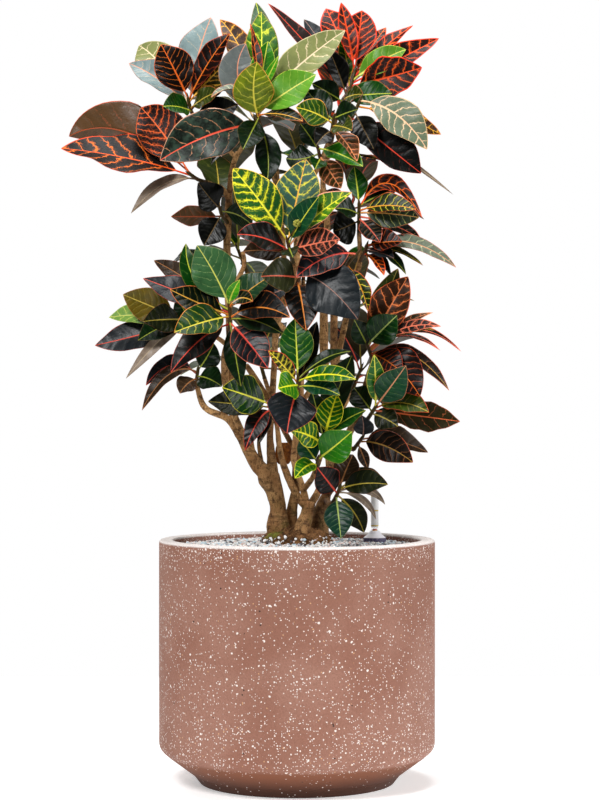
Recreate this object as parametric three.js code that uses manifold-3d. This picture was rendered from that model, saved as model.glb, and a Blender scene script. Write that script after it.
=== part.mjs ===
// A croton in a terrazzo planter, with its gravel, root ball and water-level gauge.
// Millimetres, +Z up. The origin is the middle of the planter's foot, and -Y is the front.
import * as THREE from 'three';
import { mergeVertices } from 'three/addons/utils/BufferGeometryUtils.js';
import Module from 'manifold-3d';

const wasm = await Module();
wasm.setup();

// Driving dimensions.
const touchGap = 0.35;
const planter = {
  radius: 215,
  height: 378,
  wall: 22,
  rimRound: 5,
  rimChamfer: 3,
  bodyCorner: 57,
  bodyCornerRadius: 201,
  bodyCornerHeight: 43,
  chamferHeight: 14,
  chamferRadius: 162,
  footRadius: 151,
  floorHeight: 34,
  floorRadius: 140,
  floorCorner: 92,
  sides: 32,
};
const gravelBed = {
  edgeHeight: 368.5,
  middleHeight: 374,
  stoneHeight: 1.6,
  stoneShift: 2,
  rings: 4,
  sides: 24,
};
const rootBall = {
  profile: [[82, 92], [102, 132], [102, 320], [59, 355], [55, 374], [47, 385], [27, 394]],
  top: 397,
  lumps: 0.05,
  sides: 10,
};
const gauge = {
  x: 123,
  y: 50,
  tubeRadius: 6,
  tubeWall: 1,
  tubeTop: 456,
  tubeRound: 2,
  collarTop: 388,
  collarEdge: 377,
  collarFoot: 367,
  collarRadius: 18,
  collarNeck: 7.4,
  collarBore: 4.8,
  shaftRadius: 15,
  shaftWall: 2,
  shaftFoot: 46,
  floatTop: 391,
  floatRod: 3.6,
  floatRadius: 10,
  floatLength: 70,
  floatFoot: 50,
  slope: 5,
  sides: 10,
};
const leafForm = {
  petiole: 0.13,
  petioleWidth: 2.6,
  ribAbove: 0.5,
  ribBelow: 1.1,
  fold: 16,
  foldSpread: 9,
  widest: 0.92,
  bluntness: 0.85,
  arch: 0.07,
  wave: 0.06,
  waves: 1.7,
  waveShift: 0.35,
  room: 0.7,
  lowestFoot: 0.32,
  highestFoot: 0.95,
  bladeStart: 0.1,
  broad: 60,
  broadStations: [0.14, 0.45, 0.8],
  narrowStations: [0.2, 0.7],
};
const stemForm = { foot: 6.6, top: 5, sides: 4, budLength: 9 };
const limbForm = { thick: 17, thickSides: 7, thinSides: 5 };
const goldenAngle = 137.5;

// The plant is laid out on a front sheet, as an eye straight in front of it sees it. A place on it is
// [column, row, depth]: column and row in sheet units, and depth in millimetres behind the planter's axis.
const eyePoint = new THREE.Vector3(4.7, -3470, 595);
const sheetCentre = { column: 300, row: 400.5 };
const sheetDistance = 2222;

// The woody stems. Each limb is a list of [column, row, depth, thickness], from its foot up.
const woodyStems = {
  stem_left: {
    color: 0x8a6a49,
    limbs: [
      [[280, 566, 5, 34], [279, 541, 3, 33], [278, 510, -1, 25], [274, 490, -3, 28],
        [269, 479, -4, 34.5], [264.5, 467, -6, 27]],
      [[268, 475, -4, 26], [256.5, 464, -7, 22], [247.5, 449, -10, 18], [239.5, 434, -8, 15.5],
        [227, 419, -5, 11], [205, 408, 0, 9.4], [197, 387, -1, 7.6]],
      [[246, 442, -9, 11], [233, 412, -24, 10.5], [226, 385, -52, 11.5], [225, 358, -75, 11.5],
        [229, 338, -91, 9]],
      [[227, 345, -84, 8], [214, 336, -60, 7], [201, 328, -38, 6.6]],
      [[233, 426, -6, 11], [231, 380, 6, 10.5], [229, 320, 12, 10.5], [227, 255, 14, 12],
        [228, 220, 14, 11.5], [229, 194, 13, 11]],
      [[229, 200, 14, 9], [222, 189, 2, 8], [207, 183, -17, 6.8]],
      [[229, 198, 14, 9.5], [232, 170, 6, 8.4], [238, 153, -6, 8]],
      [[236, 158, -2, 7], [216, 138, -14, 6.6], [198, 125, -20, 6.6]],
      [[237, 156, -4, 7], [246, 142, -14, 6], [254, 134, -18, 5.2]],
      [[229, 306, 12, 9], [236, 284, 4, 8], [244, 266, -4, 7], [243, 252, -8, 6.4]],
      [[270, 404, -36, 9], [262, 390, -31, 10], [252, 374, -28, 9.4], [246, 365, -28, 7.6]],
      [[274, 486, -4, 21], [272, 464, -5, 16], [270, 440, -12, 10.5], [271, 420, -25, 9.5],
        [272, 400, -36, 10], [274, 372, -50, 9.5], [276, 330, -74, 9.5], [285, 303, -92, 8.5],
        [292, 280, -106, 8], [293, 263, -112, 7.4]],
      [[276, 338, -69, 9], [281, 300, -66, 8.5], [284, 260, -62, 8.5], [277, 180, -54, 8.5],
        [274, 155, -50, 8], [269, 145, -49, 7]],
      [[263, 470, -6, 8], [259, 448, -8, 6], [259, 434, -10, 4.6]],
      [[254, 458, -10, 8], [252, 444, -13, 6], [251, 430, -16, 4.6]],
    ],
  },
  stem_centre: {
    color: 0x8f6f4e,
    limbs: [
      [[301, 568, -22, 24], [301, 541, -24, 23.5], [303, 528, -24, 20.5], [307, 514, -22, 19],
        [309, 502, -20, 20]],
      [[308, 509, -22, 13], [299.5, 500, -24, 12], [293.5, 489, -28, 12], [287.5, 476, -32, 11.5],
        [282, 460, -36, 10], [279, 444, -41, 8.5], [277.5, 430, -48, 7.6], [276, 422, -53, 7.4]],
      [[307, 507, -23, 13], [304, 493, -26, 10.5], [299, 478, -35, 10], [294, 461, -50, 10],
        [295, 446, -66, 9.5], [297, 424, -98, 9], [299, 402, -134, 7.4]],
      [[309, 507, -19, 13], [315, 498, -17, 11.5], [320, 488, -15, 10.5], [331, 462, -12, 10.5],
        [338, 425, -10, 10], [338, 392, -14, 10], [336, 367, -18, 10], [340, 347, -25, 9.5],
        [346, 320, -36, 9], [354, 284, -47, 8.5], [359, 267, -52, 8], [360, 252, -57, 7.2],
        [359, 233, -60, 6.8]],
      [[303, 491, -28, 9], [310, 482, -60, 8.5], [315, 475, -92, 7], [316, 473.5, -99, 6.6]],
      [[311, 481, -64, 7.4], [318, 465, -90, 7], [322, 454, -113, 6.6]],
      [[329, 467, -13, 10.5], [327, 430, -4, 11.5], [325.5, 390, 0, 12.5], [324, 354, 0, 13.5],
        [324, 303, -5, 13], [327, 222, -20, 9.5], [323, 182, -38, 8.5], [329, 152, -34, 8],
        [334, 128, -24, 7], [335, 120, -20.5, 6.8]],
      [[327, 160, -35, 6.8], [331, 150, -52, 6.6], [330, 143, -70, 6.4]],
      [[331, 147, -33, 6.8], [338, 143, -42, 6.4]],
      [[337, 380, -16, 9.5], [333, 358, -38, 10], [334, 340, -55, 11.5], [334, 310, -83, 11],
        [335, 302, -90, 7.4]],
    ],
  },
  stem_right: {
    color: 0x7d5d40,
    limbs: [
      [[321, 564, 24, 28], [320, 541, 20, 27], [319.5, 524, 19, 25], [321.5, 509, 17, 21.5],
        [326.5, 494, 15, 13.5], [330, 477, 12, 12], [338, 460, 8, 12.5], [350, 432, 0, 12],
        [358, 416, -6, 11.5], [361, 404, -12, 11], [368, 380, -26, 10.5], [373, 362, -40, 8]],
      [[357, 420, -5, 9], [364, 421, -22, 8], [367, 420.5, -36, 6.8]],
      [[346, 442, 2, 8.5], [351, 449, -5, 7.4], [353.5, 450, -11, 6.6]],
      [[326, 500, 16, 11], [330, 505, -30, 9.5], [333, 503, -72, 6.8]],
      [[328, 494, 13, 11], [337, 484, -8, 9], [355, 466, -18, 8]],
    ],
  },
  stem_back: {
    color: 0x75583d,
    limbs: [
      [[290, 563, 36, 22], [290.5, 541, 34, 20], [292, 510, 28, 16.5], [296, 490, 26, 13],
        [296, 475, 28, 13], [298, 440, 50, 13], [300, 400, 74, 12.5], [300, 340, 96, 12],
        [297, 260, 104, 11], [296, 165, 104, 8.5]],
    ],
  },
};

// The leafy shoots at the front. stem is a list of [column, row, depth] for the green stem, from its foot
// up. A leaf is [column and row of its tip, how far its tip lies behind its foot, width, turn, rise, sway],
// and the leaves are listed from the lowest up. turn is how far its face is rolled from the eye, clockwise
// as the leaf points, rise is how high its midrib arches and sway how far it bows to the right, as shares
// of its length.
const frontShoots = {
  shoot_j: {
    color: 0x4c7a3a,
    stem: [[293, 264, -112], [290, 252, -128], [287, 240, -136]],
    leaves: [
      [243, 252, -10, 42, 20, 0.06],
      [237, 235, -45, 50, 32, 0.12],
      [340, 240, -40, 50, -24, 0],
      [293, 258, -55, 30, 0, 0],
      [352, 193, -35, 46, -38, 0.1],
      [319, 197, -20, 44, -25, 0.03],
      [306, 160, 15, 72, -6, 0.02],
      [233, 169, 5, 66, 8, 0.04],
    ],
    bud: { stalkEnd: [297, 227, -152], thickness: 2.4, radius: 6.5 },
  },
  shoot_m: {
    color: 0x37603c,
    stem: [[229, 337, -92], [230, 320, -104], [229, 303, -114]],
    leaves: [
      [171, 373, -45, 50, 28, 0.16],
      [268, 369, -50, 58, -12, 0.05],
      [241, 387, -15, 36, 8, 0.05],
      [282, 334, -25, 38, -30, 0.14],
      [290, 318, -60, 52, -32, 0.24],
      [174, 333, -55, 60, 24, 0.02],
      [170, 290, -30, 50, 26, -0.08],
      [143, 279, 0, 50, 30, -0.02],
      [154, 261, 35, 46, 42, 0.02],
      [186, 244, 0, 38, 10, -0.12, -0.3],
      [272, 276, -15, 50, -32, 0.05],
      [253, 302, -40, 28, -40, 0.3],
      [197, 246, 5, 72, 4, 0, 0.06],
      [240, 280, -25, 20, 0, 0, -0.1],
    ],
  },
  shoot_p: {
    color: 0x3c6c34,
    stem: [[299, 402, -134], [298, 389, -148], [298, 377, -156]],
    leaves: [
      [317, 322, 30, 34, -10, 0],
      [287, 434, -45, 76, 0, 0.1, -0.04],
      [340, 396, -40, 38, -35, 0.12],
      [278, 389, -50, 46, 16, 0.02],
      [268, 351, -20, 30, 30, 0],
      [356, 380, -50, 32, -34, 0.14],
      [351, 352, -10, 26, -45, 0.16],
      [295, 319, 12, 54, 2, 0],
    ],
  },
  shoot_q: {
    color: 0x5e8f2c,
    stem: [[322, 454, -113], [323, 444, -125], [325, 436, -134]],
    leaves: [
      [290, 431, -50, 42, 18, 0.1],
      [352, 356, 60, 50, -20, 0.05],
      [312, 392, 5, 40, 10, 0],
      [366, 411, -20, 34, -35, 0.1],
      [337, 395, 8, 46, -4, 0],
    ],
  },
  shoot_q_low: {
    color: 0x6a9a35,
    stem: [[316, 473.5, -99], [317, 466, -112], [318, 459, -121]],
    leaves: [
      [295, 479, -40, 32, 30, 0.24],
      [300, 440, 10, 40, 15, 0],
      [352, 432, -20, 56, -18, -0.03],
    ],
  },
  shoot_o: {
    color: 0x2f5c27,
    stem: [[276, 422, -53], [273, 413, -60], [270, 404, -66]],
    leaves: [
      [258, 446, -25, 18, 15, 0.2],
      [245, 451, -25, 34, 18, 0.34],
      [208, 402, -15, 54, 32, -0.04],
      [222, 388, -50, 62, 18, 0],
    ],
  },
  shoot_t_left: {
    color: 0x47504a,
    stem: [[287, 299, -95], [296, 286, -118], [301, 273, -128]],
    leaves: [
      [257, 302, 10, 28, 20, 0.05],
      [306, 331, -35, 58, -12, 0.2, -0.02],
      [261, 277, -50, 58, 8, 0.04],
      [358, 320, -45, 84, -8, 0.2],
    ],
  },
  shoot_t: {
    color: 0x4a5560,
    stem: [[335, 302, -90], [340, 281, -108], [348, 264, -120], [358, 253, -124]],
    leaves: [
      [368, 312, -15, 28, -25, 0.08, 0.06],
      [296, 278, -20, 56, 28, 0.2],
    ],
  },
  shoot_c: {
    color: 0x55665c,
    stem: [[269, 145, -49], [261, 128, -60], [257, 110, -66], [259, 94, -66]],
    leaves: [
      [267, 183, -25, 42, -10, 0.02, 0.12],
      [160, 161, -50, 86, 16, 0.1],
      [211, 165, -10, 42, 55, 0.14],
      [257, 62, -45, 66, 0, -0.02, -0.15],
      [243, 150, -50, 44, 0, 0],
      [303, 122, -50, 36, -50, 0.08],
      [316, 75, -20, 60, -18, 0.02],
      [246, 44, 5, 60, 4, 0, -0.4],
      [220, 20, 75, 46, 15, 0.1, 0.08],
      [211, 98, -40, 26, 72, 0.4],
      [345, 31, 20, 60, -14, 0.04],
      [261, 12, 45, 54, 8, 0, 0.03],
      [250, 24, 30, 26, 60, 0],
      [268, 42, 0, 40, -8, 0],
      [256, 3, 75, 40, 0, 0, 0.08],
      [279, 56, -5, 14, 0, 0],
    ],
  },
  shoot_f: {
    color: 0x2f5a28,
    stem: [[330, 143, -70], [332, 130, -84], [334, 118, -92]],
    leaves: [
      [316, 146, -30, 34, 10, 0.15],
      [357, 162, -30, 38, -38, 0.1],
      [352, 131, -45, 38, -25, 0.04],
      [296, 108, -20, 44, 15, 0.1],
      [306, 90, 5, 46, 10, -0.05],
      [358, 110, -20, 40, -22, 0.02],
    ],
  },
  shoot_r: {
    color: 0x2c3f30,
    stem: [[333, 503, -72], [337, 495, -86], [340, 487, -96]],
    leaves: [
      [341, 539, -30, 46, 2, 0.05],
      [364, 533, 20, 36, 10, 0.12, 0.12],
      [317, 468, 5, 46, 12, -0.02],
      [376, 520, 10, 12, 0, 0.3, 0.2],
      [385, 505, 0, 14, 0, 0.34, 0.2],
      [388, 485, -35, 46, -28, 0.1],
      [382, 478, 10, 38, -30, 0.16],
      [353, 455, 15, 42, -10, 0.05],
    ],
  },
  shoot_a: {
    color: 0x6a4a30,
    stem: [[198, 125, -20], [191, 111, -28], [188, 98, -34]],
    leaves: [
      [238, 105, -10, 46, -10, -0.12],
      [163, 107, -45, 46, 30, 0.08],
      [232, 74, -5, 36, -20, 0.08],
      [219, 92, -40, 38, -35, 0.05],
      [129, 64, 35, 54, 24, 0.08],
      [139, 46, 60, 72, 8, 0.12],
      [211, 18, 45, 66, -12, 0.02, -0.04],
      [228, 62, -15, 56, -14, 0.02],
      [230, 34, 10, 44, -28, 0.06],
      [161, 45, -8, 66, 6, 0.02],
    ],
  },
  shoot_b: {
    color: 0x7a3a22,
    stem: [[207, 183, -17], [198, 180, -32], [189, 174, -44]],
    leaves: [
      [131, 214, -20, 26, 30, 0.28],
      [69, 137, 45, 90, 150, 0.34, -0.12],
      [61, 149, -15, 98, 50, 0],
      [141, 108, 40, 82, 4, 0.08],
    ],
  },
  shoot_k: {
    color: 0x3b4520,
    stem: [[228, 224, 12], [222, 216, -4], [219, 206, -12]],
    leaves: [
      [171, 217, -15, 40, 140, -0.04],
      [204, 246, -10, 50, 0, -0.02],
      [252, 226, 50, 48, -20, 0.14],
      [198, 183, -30, 52, 16, -0.1],
      [214, 154, 45, 74, 10, 0],
    ],
  },
  shoot_d: {
    color: 0x8a3a1e,
    stem: [[335, 120, -20.5], [342, 104, -24], [351, 86, -26], [356, 66, -26]],
    leaves: [
      [312, 84, -15, 40, 15, 0],
      [363, 95, -35, 32, -30, 0.08],
      [392, 94, -30, 46, -20, 0],
      [329, 50, -5, 36, 15, 0.02],
      [268, 4, 0, 30, 30, 0, -0.02],
      [304, 20, 10, 46, 22, 0.02],
      [342, 32, -15, 24, 10, 0.02],
      [422, 68, -20, 72, -12, -0.03],
      [439, 39, 0, 46, -20, -0.04],
      [406, 50, -25, 42, -30, 0.08],
      [413, 26, 25, 34, -30, 0],
      [386, 28, 50, 32, -20, 0],
      [326, 9, 30, 60, 15, 0],
      [341, 3, 45, 32, 8, 0],
      [362, 11, 5, 58, 0, 0.02],
    ],
  },
  shoot_e: {
    color: 0x56605a,
    stem: [[338, 143, -42], [346, 129, -53], [354, 114, -60], [361, 99, -64]],
    leaves: [
      [453, 195, -10, 8, 0, 0.05],
      [421, 174, -5, 72, -16, -0.04],
      [374, 150, -30, 46, 0, 0],
      [441, 135, 35, 46, -30, 0.04],
      [427, 150, -35, 60, -14, 0.2, 0.08],
    ],
  },
  shoot_g: {
    color: 0x2b4f26,
    stem: [[323, 172, -37], [320, 158, -56], [318, 148, -66]],
    leaves: [
      [315, 170, -30, 30, 0, 0.05],
      [341, 189, -30, 40, 0, 0],
      [286, 159, -15, 46, 20, -0.2],
      [300, 124, 0, 36, 20, 0.02],
      [363, 167, -45, 44, -32, 0.05],
    ],
  },
  shoot_h: {
    color: 0x4b7034,
    stem: [[359, 233, -60], [359, 218, -67], [359, 204, -74]],
    leaves: [
      [333, 232, 10, 58, 15, -0.08],
      [380, 243, -30, 36, -20, 0.05],
      [421, 240, -10, 40, -45, 0.06],
      [334, 209, -30, 38, 30, 0.1],
      [419, 218, -20, 50, -15, 0.02],
      [416, 210, -38, 40, -35, 0.1],
      [422, 218, 25, 36, -40, 0.85, -0.1],
      [396, 190, 15, 40, -30, 0.05],
      [354, 167, 5, 34, 15, 0],
    ],
  },
  shoot_i: {
    color: 0x3a4438,
    stem: [[360, 262, -53], [364, 254, -68], [367, 245, -80]],
    leaves: [
      [391, 276, -10, 26, -50, 0.2],
      [384, 276, -20, 26, -45, 0.14],
      [406, 275, -10, 28, -50, 0.34],
      [394, 259, -30, 32, -45, 0.04],
      [423, 266, -10, 18, -50, 0.16],
      [456, 268, -5, 28, -32, 0.27],
      [402, 242, -20, 42, -30, 0.02],
    ],
  },
  shoot_s_top: {
    color: 0x6a3a2c,
    stem: [[373, 362, -40], [370, 353, -52], [367, 345, -60]],
    leaves: [
      [420, 397, -35, 72, -20, 0.2, 0.04],
      [449, 391, -5, 32, -42, 0.36],
      [402, 373, -40, 48, -25, 0.06],
      [461, 352, 0, 18, -55, 0.42],
      [440, 351, -15, 15, -55, 0.36],
      [434, 330, -25, 16, -50, 0.16],
      [441, 327, -5, 26, -45, 0.2],
      [433, 313, 15, 20, -45, 0.08],
      [354, 320, -25, 36, 8, 0],
      [408, 277, 0, 66, -10, 0],
      [398, 269, 40, 44, -10, 0],
      [397, 316, -25, 54, -20, 0.02],
    ],
  },
  shoot_s_middle: {
    color: 0x4a5a30,
    stem: [[367, 420.5, -36], [372, 413, -50], [377, 405, -62]],
    leaves: [
      [398, 427, -20, 40, -10, 0.1],
      [354, 388, 70, 40, 0, 0],
      [460, 422, -20, 54, -20, -0.02],
      [429, 413, -35, 46, -36, 0.22],
      [374, 355, -30, 30, 15, 0],
      [406, 366, -50, 52, -12, 0],
    ],
  },
  shoot_s_low: {
    color: 0x4a3b30,
    stem: [[353.5, 450, -11], [358, 444, -20], [363, 437, -30]],
    leaves: [
      [368, 470, 10, 18, 0, 0.08],
      [413, 463, -30, 52, -8, 0.18],
      [428, 453, -10, 46, -35, 0.14, -0.12],
      [362, 416, -10, 34, 0, 0, 0.1],
    ],
  },
  shoot_l: {
    color: 0x4c5a3c,
    stem: [[201, 328, -38], [190, 323, -38], [178, 318, -38]],
    leaves: [
      [177, 298, 0, 34, 0, 0],
      [126, 379, -20, 22, 10, 0.26, 0.1],
      [95, 346, -10, 52, 24, -0.05],
      [138, 341, -30, 46, 18, 0.1],
      [143, 322, -40, 50, 12, 0.02],
      [109, 318, 10, 42, 28, 0.05],
      [123, 295, -15, 58, 0, 0],
    ],
  },
  shoot_n: {
    color: 0x57493a,
    stem: [[197, 387, -1], [197, 378, -6], [198, 370, -12]],
    leaves: [
      [180, 394, -25, 34, 20, 0.1, -0.1],
      [222, 387, -35, 46, -20, 0.1],
      [146, 386, 15, 36, 30, 0.5],
      [142, 411, -15, 28, 34, 0.46],
      [214, 344, -5, 44, 10, 0, 0.05],
    ],
  },
};

// The shoots behind: where each green stem starts, in millimetres, how many leaves it has, how long they
// are and which way the first one points.
const backShoots = [
  { foot: [-52, 128, 628], leaves: 6, length: 150, turn: 20, color: 0x2f5530 },
  { foot: [70, 140, 706], leaves: 6, length: 140, turn: 95, color: 0x35502c },
  { foot: [10, 178, 790], leaves: 6, length: 150, turn: 250, color: 0x4a4a2c },
  { foot: [-80, 116, 800], leaves: 6, length: 140, turn: 75, color: 0x3d6a3f },
  { foot: [76, 124, 880], leaves: 6, length: 130, turn: 235, color: 0x5a3626 },
  { foot: [4, 172, 950], leaves: 6, length: 145, turn: 200, color: 0x33552e },
  { foot: [-56, 104, 1004], leaves: 6, length: 130, turn: 160, color: 0x61704f },
  { foot: [58, 96, 1030], leaves: 6, length: 125, turn: 45, color: 0x7a3c22 },
  { foot: [86, 84, 605], leaves: 6, length: 130, turn: 290, color: 0x3f4a3a },
];
const backForm = {
  branchDrop: 120,
  branchThicknesses: [9, 8, 6.8],
  branchSides: 4,
  stemLength: 46,
  lean: 0.005,
  lowest: -24,
  highest: 66,
  topShortening: 0.22,
  lengthSpread: 0.1,
  width: 52,
  widthSpread: 3,
  rise: 0.16,
  azimuthPerStep: 0.7,
  elevationPerStep: 0.6,
};

// The dry leaf that has fallen between the limbs: the middle of its face and its half sizes.
const dryLeaf = { centre: [283.5, 454, 2], halfWidth: 13, halfHeight: 17, thickness: 1.6 };

// A number from 0 to 1 that looks random and is the same each time for the same key.
function draw(key) {
  const large = Math.sin(key * 12.9898 + 78.233) * 43758.5453;
  return large - Math.floor(large);
}

function onSheet(column, row, depth) {
  const scale = (depth - eyePoint.y) / sheetDistance;
  const x = eyePoint.x + (column - sheetCentre.column) * scale;
  return new THREE.Vector3(x, depth, eyePoint.z - (row - sheetCentre.row) * scale);
}

function radians(degrees) {
  return (degrees * Math.PI) / 180;
}

// A closed solid from its points and triangles.
function solidFrom(points, faces) {
  const vertProperties = new Float32Array(points.flatMap((point) => [point.x, point.y, point.z]));
  const triVerts = new Uint32Array(faces.flat());
  return new wasm.Manifold(new wasm.Mesh({ numProp: 3, vertProperties, triVerts }));
}

// A closed solid from a three.js geometry.
function solidOfGeometry(geometry) {
  const bare = geometry.clone();
  bare.deleteAttribute('normal');
  bare.deleteAttribute('uv');
  const merged = mergeVertices(bare, 1e-4);
  const vertProperties = merged.attributes.position.array;
  const triVerts = new Uint32Array(merged.index.array);
  return new wasm.Manifold(new wasm.Mesh({ numProp: 3, vertProperties, triVerts }));
}

function joined(solids) {
  return solids.reduce((whole, piece) => whole.add(piece));
}

function finish(color, roughness, metalness = 0) {
  return new THREE.MeshStandardMaterial({ color, roughness, metalness });
}

function meshOf(name, solid, material) {
  const { vertProperties, triVerts, numProp } = solid.getMesh();
  const geometry = new THREE.BufferGeometry();
  const positions = new Float32Array((vertProperties.length / numProp) * 3);
  for (let i = 0; i * numProp < vertProperties.length; i += 1) {
    positions.set(vertProperties.subarray(i * numProp, i * numProp + 3), i * 3);
  }
  geometry.setAttribute('position', new THREE.BufferAttribute(positions, 3));
  geometry.setIndex(new THREE.BufferAttribute(new Uint32Array(triVerts), 1));
  geometry.computeVertexNormals();
  const mesh = new THREE.Mesh(geometry, material);
  mesh.name = name;
  return mesh;
}

// The largest body of a solid, without the loose scraps that a cut leaves.
function largestBody(solid) {
  return solid.decompose().reduce((best, body) => (body.volume() > best.volume() ? body : best));
}

// A solid turned about the Z axis from a profile of [radius, height], which starts and ends on the axis.
function turned(profile, sides) {
  const points = profile.map(([radius, height]) => new THREE.Vector2(radius, height));
  return solidOfGeometry(new THREE.LatheGeometry(points, sides).rotateX(Math.PI / 2));
}

// A closed solid through rings of points, with a flat foot and either a flat end or a point. The quads on
// the two faces of a blade are split alike.
function loft(rings, point) {
  const count = rings[0].length;
  const points = rings.flat();
  const faces = [];
  for (let ring = 0; ring + 1 < rings.length; ring += 1) {
    for (let i = 0; i < count; i += 1) {
      const low = ring * count + i;
      const lowNext = ring * count + ((i + 1) % count);
      const high = low + count;
      const highNext = lowNext + count;
      if (i % 2 === 0) faces.push([low, lowNext, highNext], [low, highNext, high]);
      else faces.push([low, lowNext, high], [lowNext, highNext, high]);
    }
  }
  const last = points.length - count;
  for (let i = 1; i + 1 < count; i += 1) {
    faces.push([0, i + 1, i]);
    if (!point) faces.push([last, last + i, last + i + 1]);
  }
  if (point) {
    points.push(point);
    for (let i = 0; i < count; i += 1) faces.push([last + i, last + ((i + 1) % count), points.length - 1]);
  }
  return solidFrom(points, faces);
}

// A round bar of changing thickness along a path, with an optional point at its end. Its sections stand
// square to the path, or all square to the line between its ends, which keeps the sides of a nearly
// straight bar flat.
function bar(path, thicknesses, sides, { point, parallel = false } = {}) {
  const rings = [];
  let across = new THREE.Vector3();
  path.forEach((place, i) => {
    const before = path[parallel ? 0 : Math.max(i - 1, 0)];
    const after = path[parallel ? path.length - 1 : Math.min(i + 1, path.length - 1)];
    const along = after.clone().sub(before).normalize();
    if (i === 0) across.crossVectors(along, new THREE.Vector3(0.3, 1, 0.1));
    across = across.clone().addScaledVector(along, -across.dot(along)).normalize();
    const side = along.clone().cross(across);
    const ring = [];
    for (let k = 0; k < sides; k += 1) {
      const angle = (2 * Math.PI * k) / sides;
      const radius = thicknesses[i] / 2;
      ring.push(
        place.clone()
          .addScaledVector(across, radius * Math.cos(angle))
          .addScaledVector(side, radius * Math.sin(angle)),
      );
    }
    rings.push(ring);
  });
  return loft(rings, point);
}

// One limb of a woody stem. extra makes it thicker and longer, for the room that it needs.
function limb(places, extra = 0) {
  const path = places.map(([column, row, depth]) => onSheet(column, row, depth));
  const end = path[path.length - 1];
  const along = end.clone().sub(path[path.length - 2]).normalize();
  end.addScaledVector(along, extra);
  const sides = places[0][3] > limbForm.thick ? limbForm.thickSides : limbForm.thinSides;
  return bar(path, places.map((place) => place[3] + 2 * extra), sides);
}

// The place on the back stem's axis at a height.
function backStemAt(height) {
  const path = woodyStems.stem_back.limbs[0].map(([column, row, depth]) => onSheet(column, row, depth));
  const next = Math.max(path.findIndex((place) => place.z > height), 1);
  const share = (height - path[next - 1].z) / (path[next].z - path[next - 1].z);
  return path[next - 1].clone().lerp(path[next], share);
}

// The branch of the back stem that carries one shoot: it leaves the stem lower down and curves out.
function backBranch(foot, extra = 0) {
  const end = new THREE.Vector3(...foot);
  const root = backStemAt(end.z - backForm.branchDrop);
  const bend = root.clone().lerp(end, 0.6).setZ(end.z - 0.5 * backForm.branchDrop);
  const along = end.clone().sub(bend).normalize();
  end.addScaledVector(along, extra);
  const thicknesses = backForm.branchThicknesses.map((thickness) => thickness + 2 * extra);
  return bar([root, bend, end], thicknesses, backForm.branchSides);
}

// The place and the frame of a leaf's midrib at share s of its length. The midrib is a curve from the foot
// to the tip whose middle is drawn towards the leaf's face, upwards by rise and to the right by sway.
function ribAt(leaf, s) {
  const { foot, tip, bend, face } = leaf;
  const place = foot.clone().multiplyScalar((1 - s) ** 2)
    .addScaledVector(bend, 2 * s * (1 - s))
    .addScaledVector(tip, s ** 2);
  const along = bend.clone().sub(foot).multiplyScalar(1 - s)
    .addScaledVector(tip.clone().sub(bend), s)
    .normalize();
  const up = face.clone().addScaledVector(along, -face.dot(along)).normalize();
  return { place, up, side: along.clone().cross(up) };
}

// Half the width of a blade at share u of its length, as a share of its greatest half width.
function outline(u) {
  return Math.sin(Math.PI * u ** leafForm.widest) ** leafForm.bluntness;
}

// How far a margin stands off the plane of its half blade, as a share of the width.
function waveAt(leaf, u, side) {
  const turns = leafForm.waves * u + leaf.phase + leafForm.waveShift * side;
  return leafForm.wave * Math.sin(2 * Math.PI * turns) * Math.sin(Math.PI * u);
}

// The four points of a leaf's section at share s: rib below, left margin, rib above, right margin. It lies
// the way the midrib's frame does at squareAt.
function leafSection(leaf, s, halfWidth, { wave = () => 0, room, squareAt = s }) {
  const { place } = ribAt(leaf, s);
  const { up, side } = ribAt(leaf, squareAt);
  const lift = halfWidth * Math.sin(leaf.fold);
  const reach = halfWidth * Math.cos(leaf.fold) + room;
  const margin = (sign) => place.clone()
    .addScaledVector(side, sign * reach)
    .addScaledVector(up, lift + wave(sign));
  return [
    place.clone().addScaledVector(up, -leafForm.ribBelow - room),
    margin(-1),
    place.clone().addScaledVector(up, leafForm.ribAbove + room),
    margin(1),
  ];
}

// A leaf as a solid from share start of its length to its tip.
function leafSolid(leaf, start = 0, room = 0) {
  const { petiole, petioleWidth } = leafForm;
  const ends = start < petiole ? [start, petiole] : [start];
  const rings = ends.map((s) => leafSection(leaf, s, petioleWidth / 2, { room, squareAt: petiole }));
  for (const u of leaf.stations) {
    const s = petiole + (1 - petiole) * u;
    const wave = (sign) => leaf.width * waveAt(leaf, u, sign);
    rings.push(leafSection(leaf, s, (leaf.width / 2) * outline(u), { wave, room }));
  }
  const tip = ribAt(leaf, 1);
  const along = tip.up.clone().cross(tip.side);
  return loft(rings, tip.place.clone().addScaledVector(along, room));
}

// A leaf from its foot, its tip, the way it faces, its width and its bends.
function leafBetween(foot, tip, face, { width, rise = 0, sway = 0, key }) {
  const length = foot.distanceTo(tip);
  const bend = foot.clone().add(tip).multiplyScalar(0.5)
    .addScaledVector(face, leafForm.arch * length)
    .add(new THREE.Vector3(sway * length, 0, rise * length));
  const stations = width < leafForm.broad ? leafForm.narrowStations : leafForm.broadStations;
  const fold = radians(leafForm.fold + leafForm.foldSpread * (2 * draw(key) - 1));
  return { foot, tip, face, bend, width, stations, fold, phase: draw(key + 0.5) };
}

// A leaf of a front shoot. Its face is turned from the eye by turn, and step moves its tip along the line
// of sight and turns it, to clear what stands in its way.
function frontLeaf(foot, [column, row, deeper, width, turn, rise, sway = 0], step, key) {
  const tip = onSheet(column, row, foot.y + deeper + step.depth);
  const along = tip.clone().sub(foot).normalize();
  const toEye = new THREE.Vector3(0, -1, 0).addScaledVector(along, along.y).normalize();
  const clockwise = along.clone().cross(toEye);
  const angle = radians(turn + step.turn);
  const face = toEye.multiplyScalar(Math.cos(angle)).addScaledVector(clockwise, Math.sin(angle));
  return leafBetween(foot, tip, face, { width, rise, sway, key });
}

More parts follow.
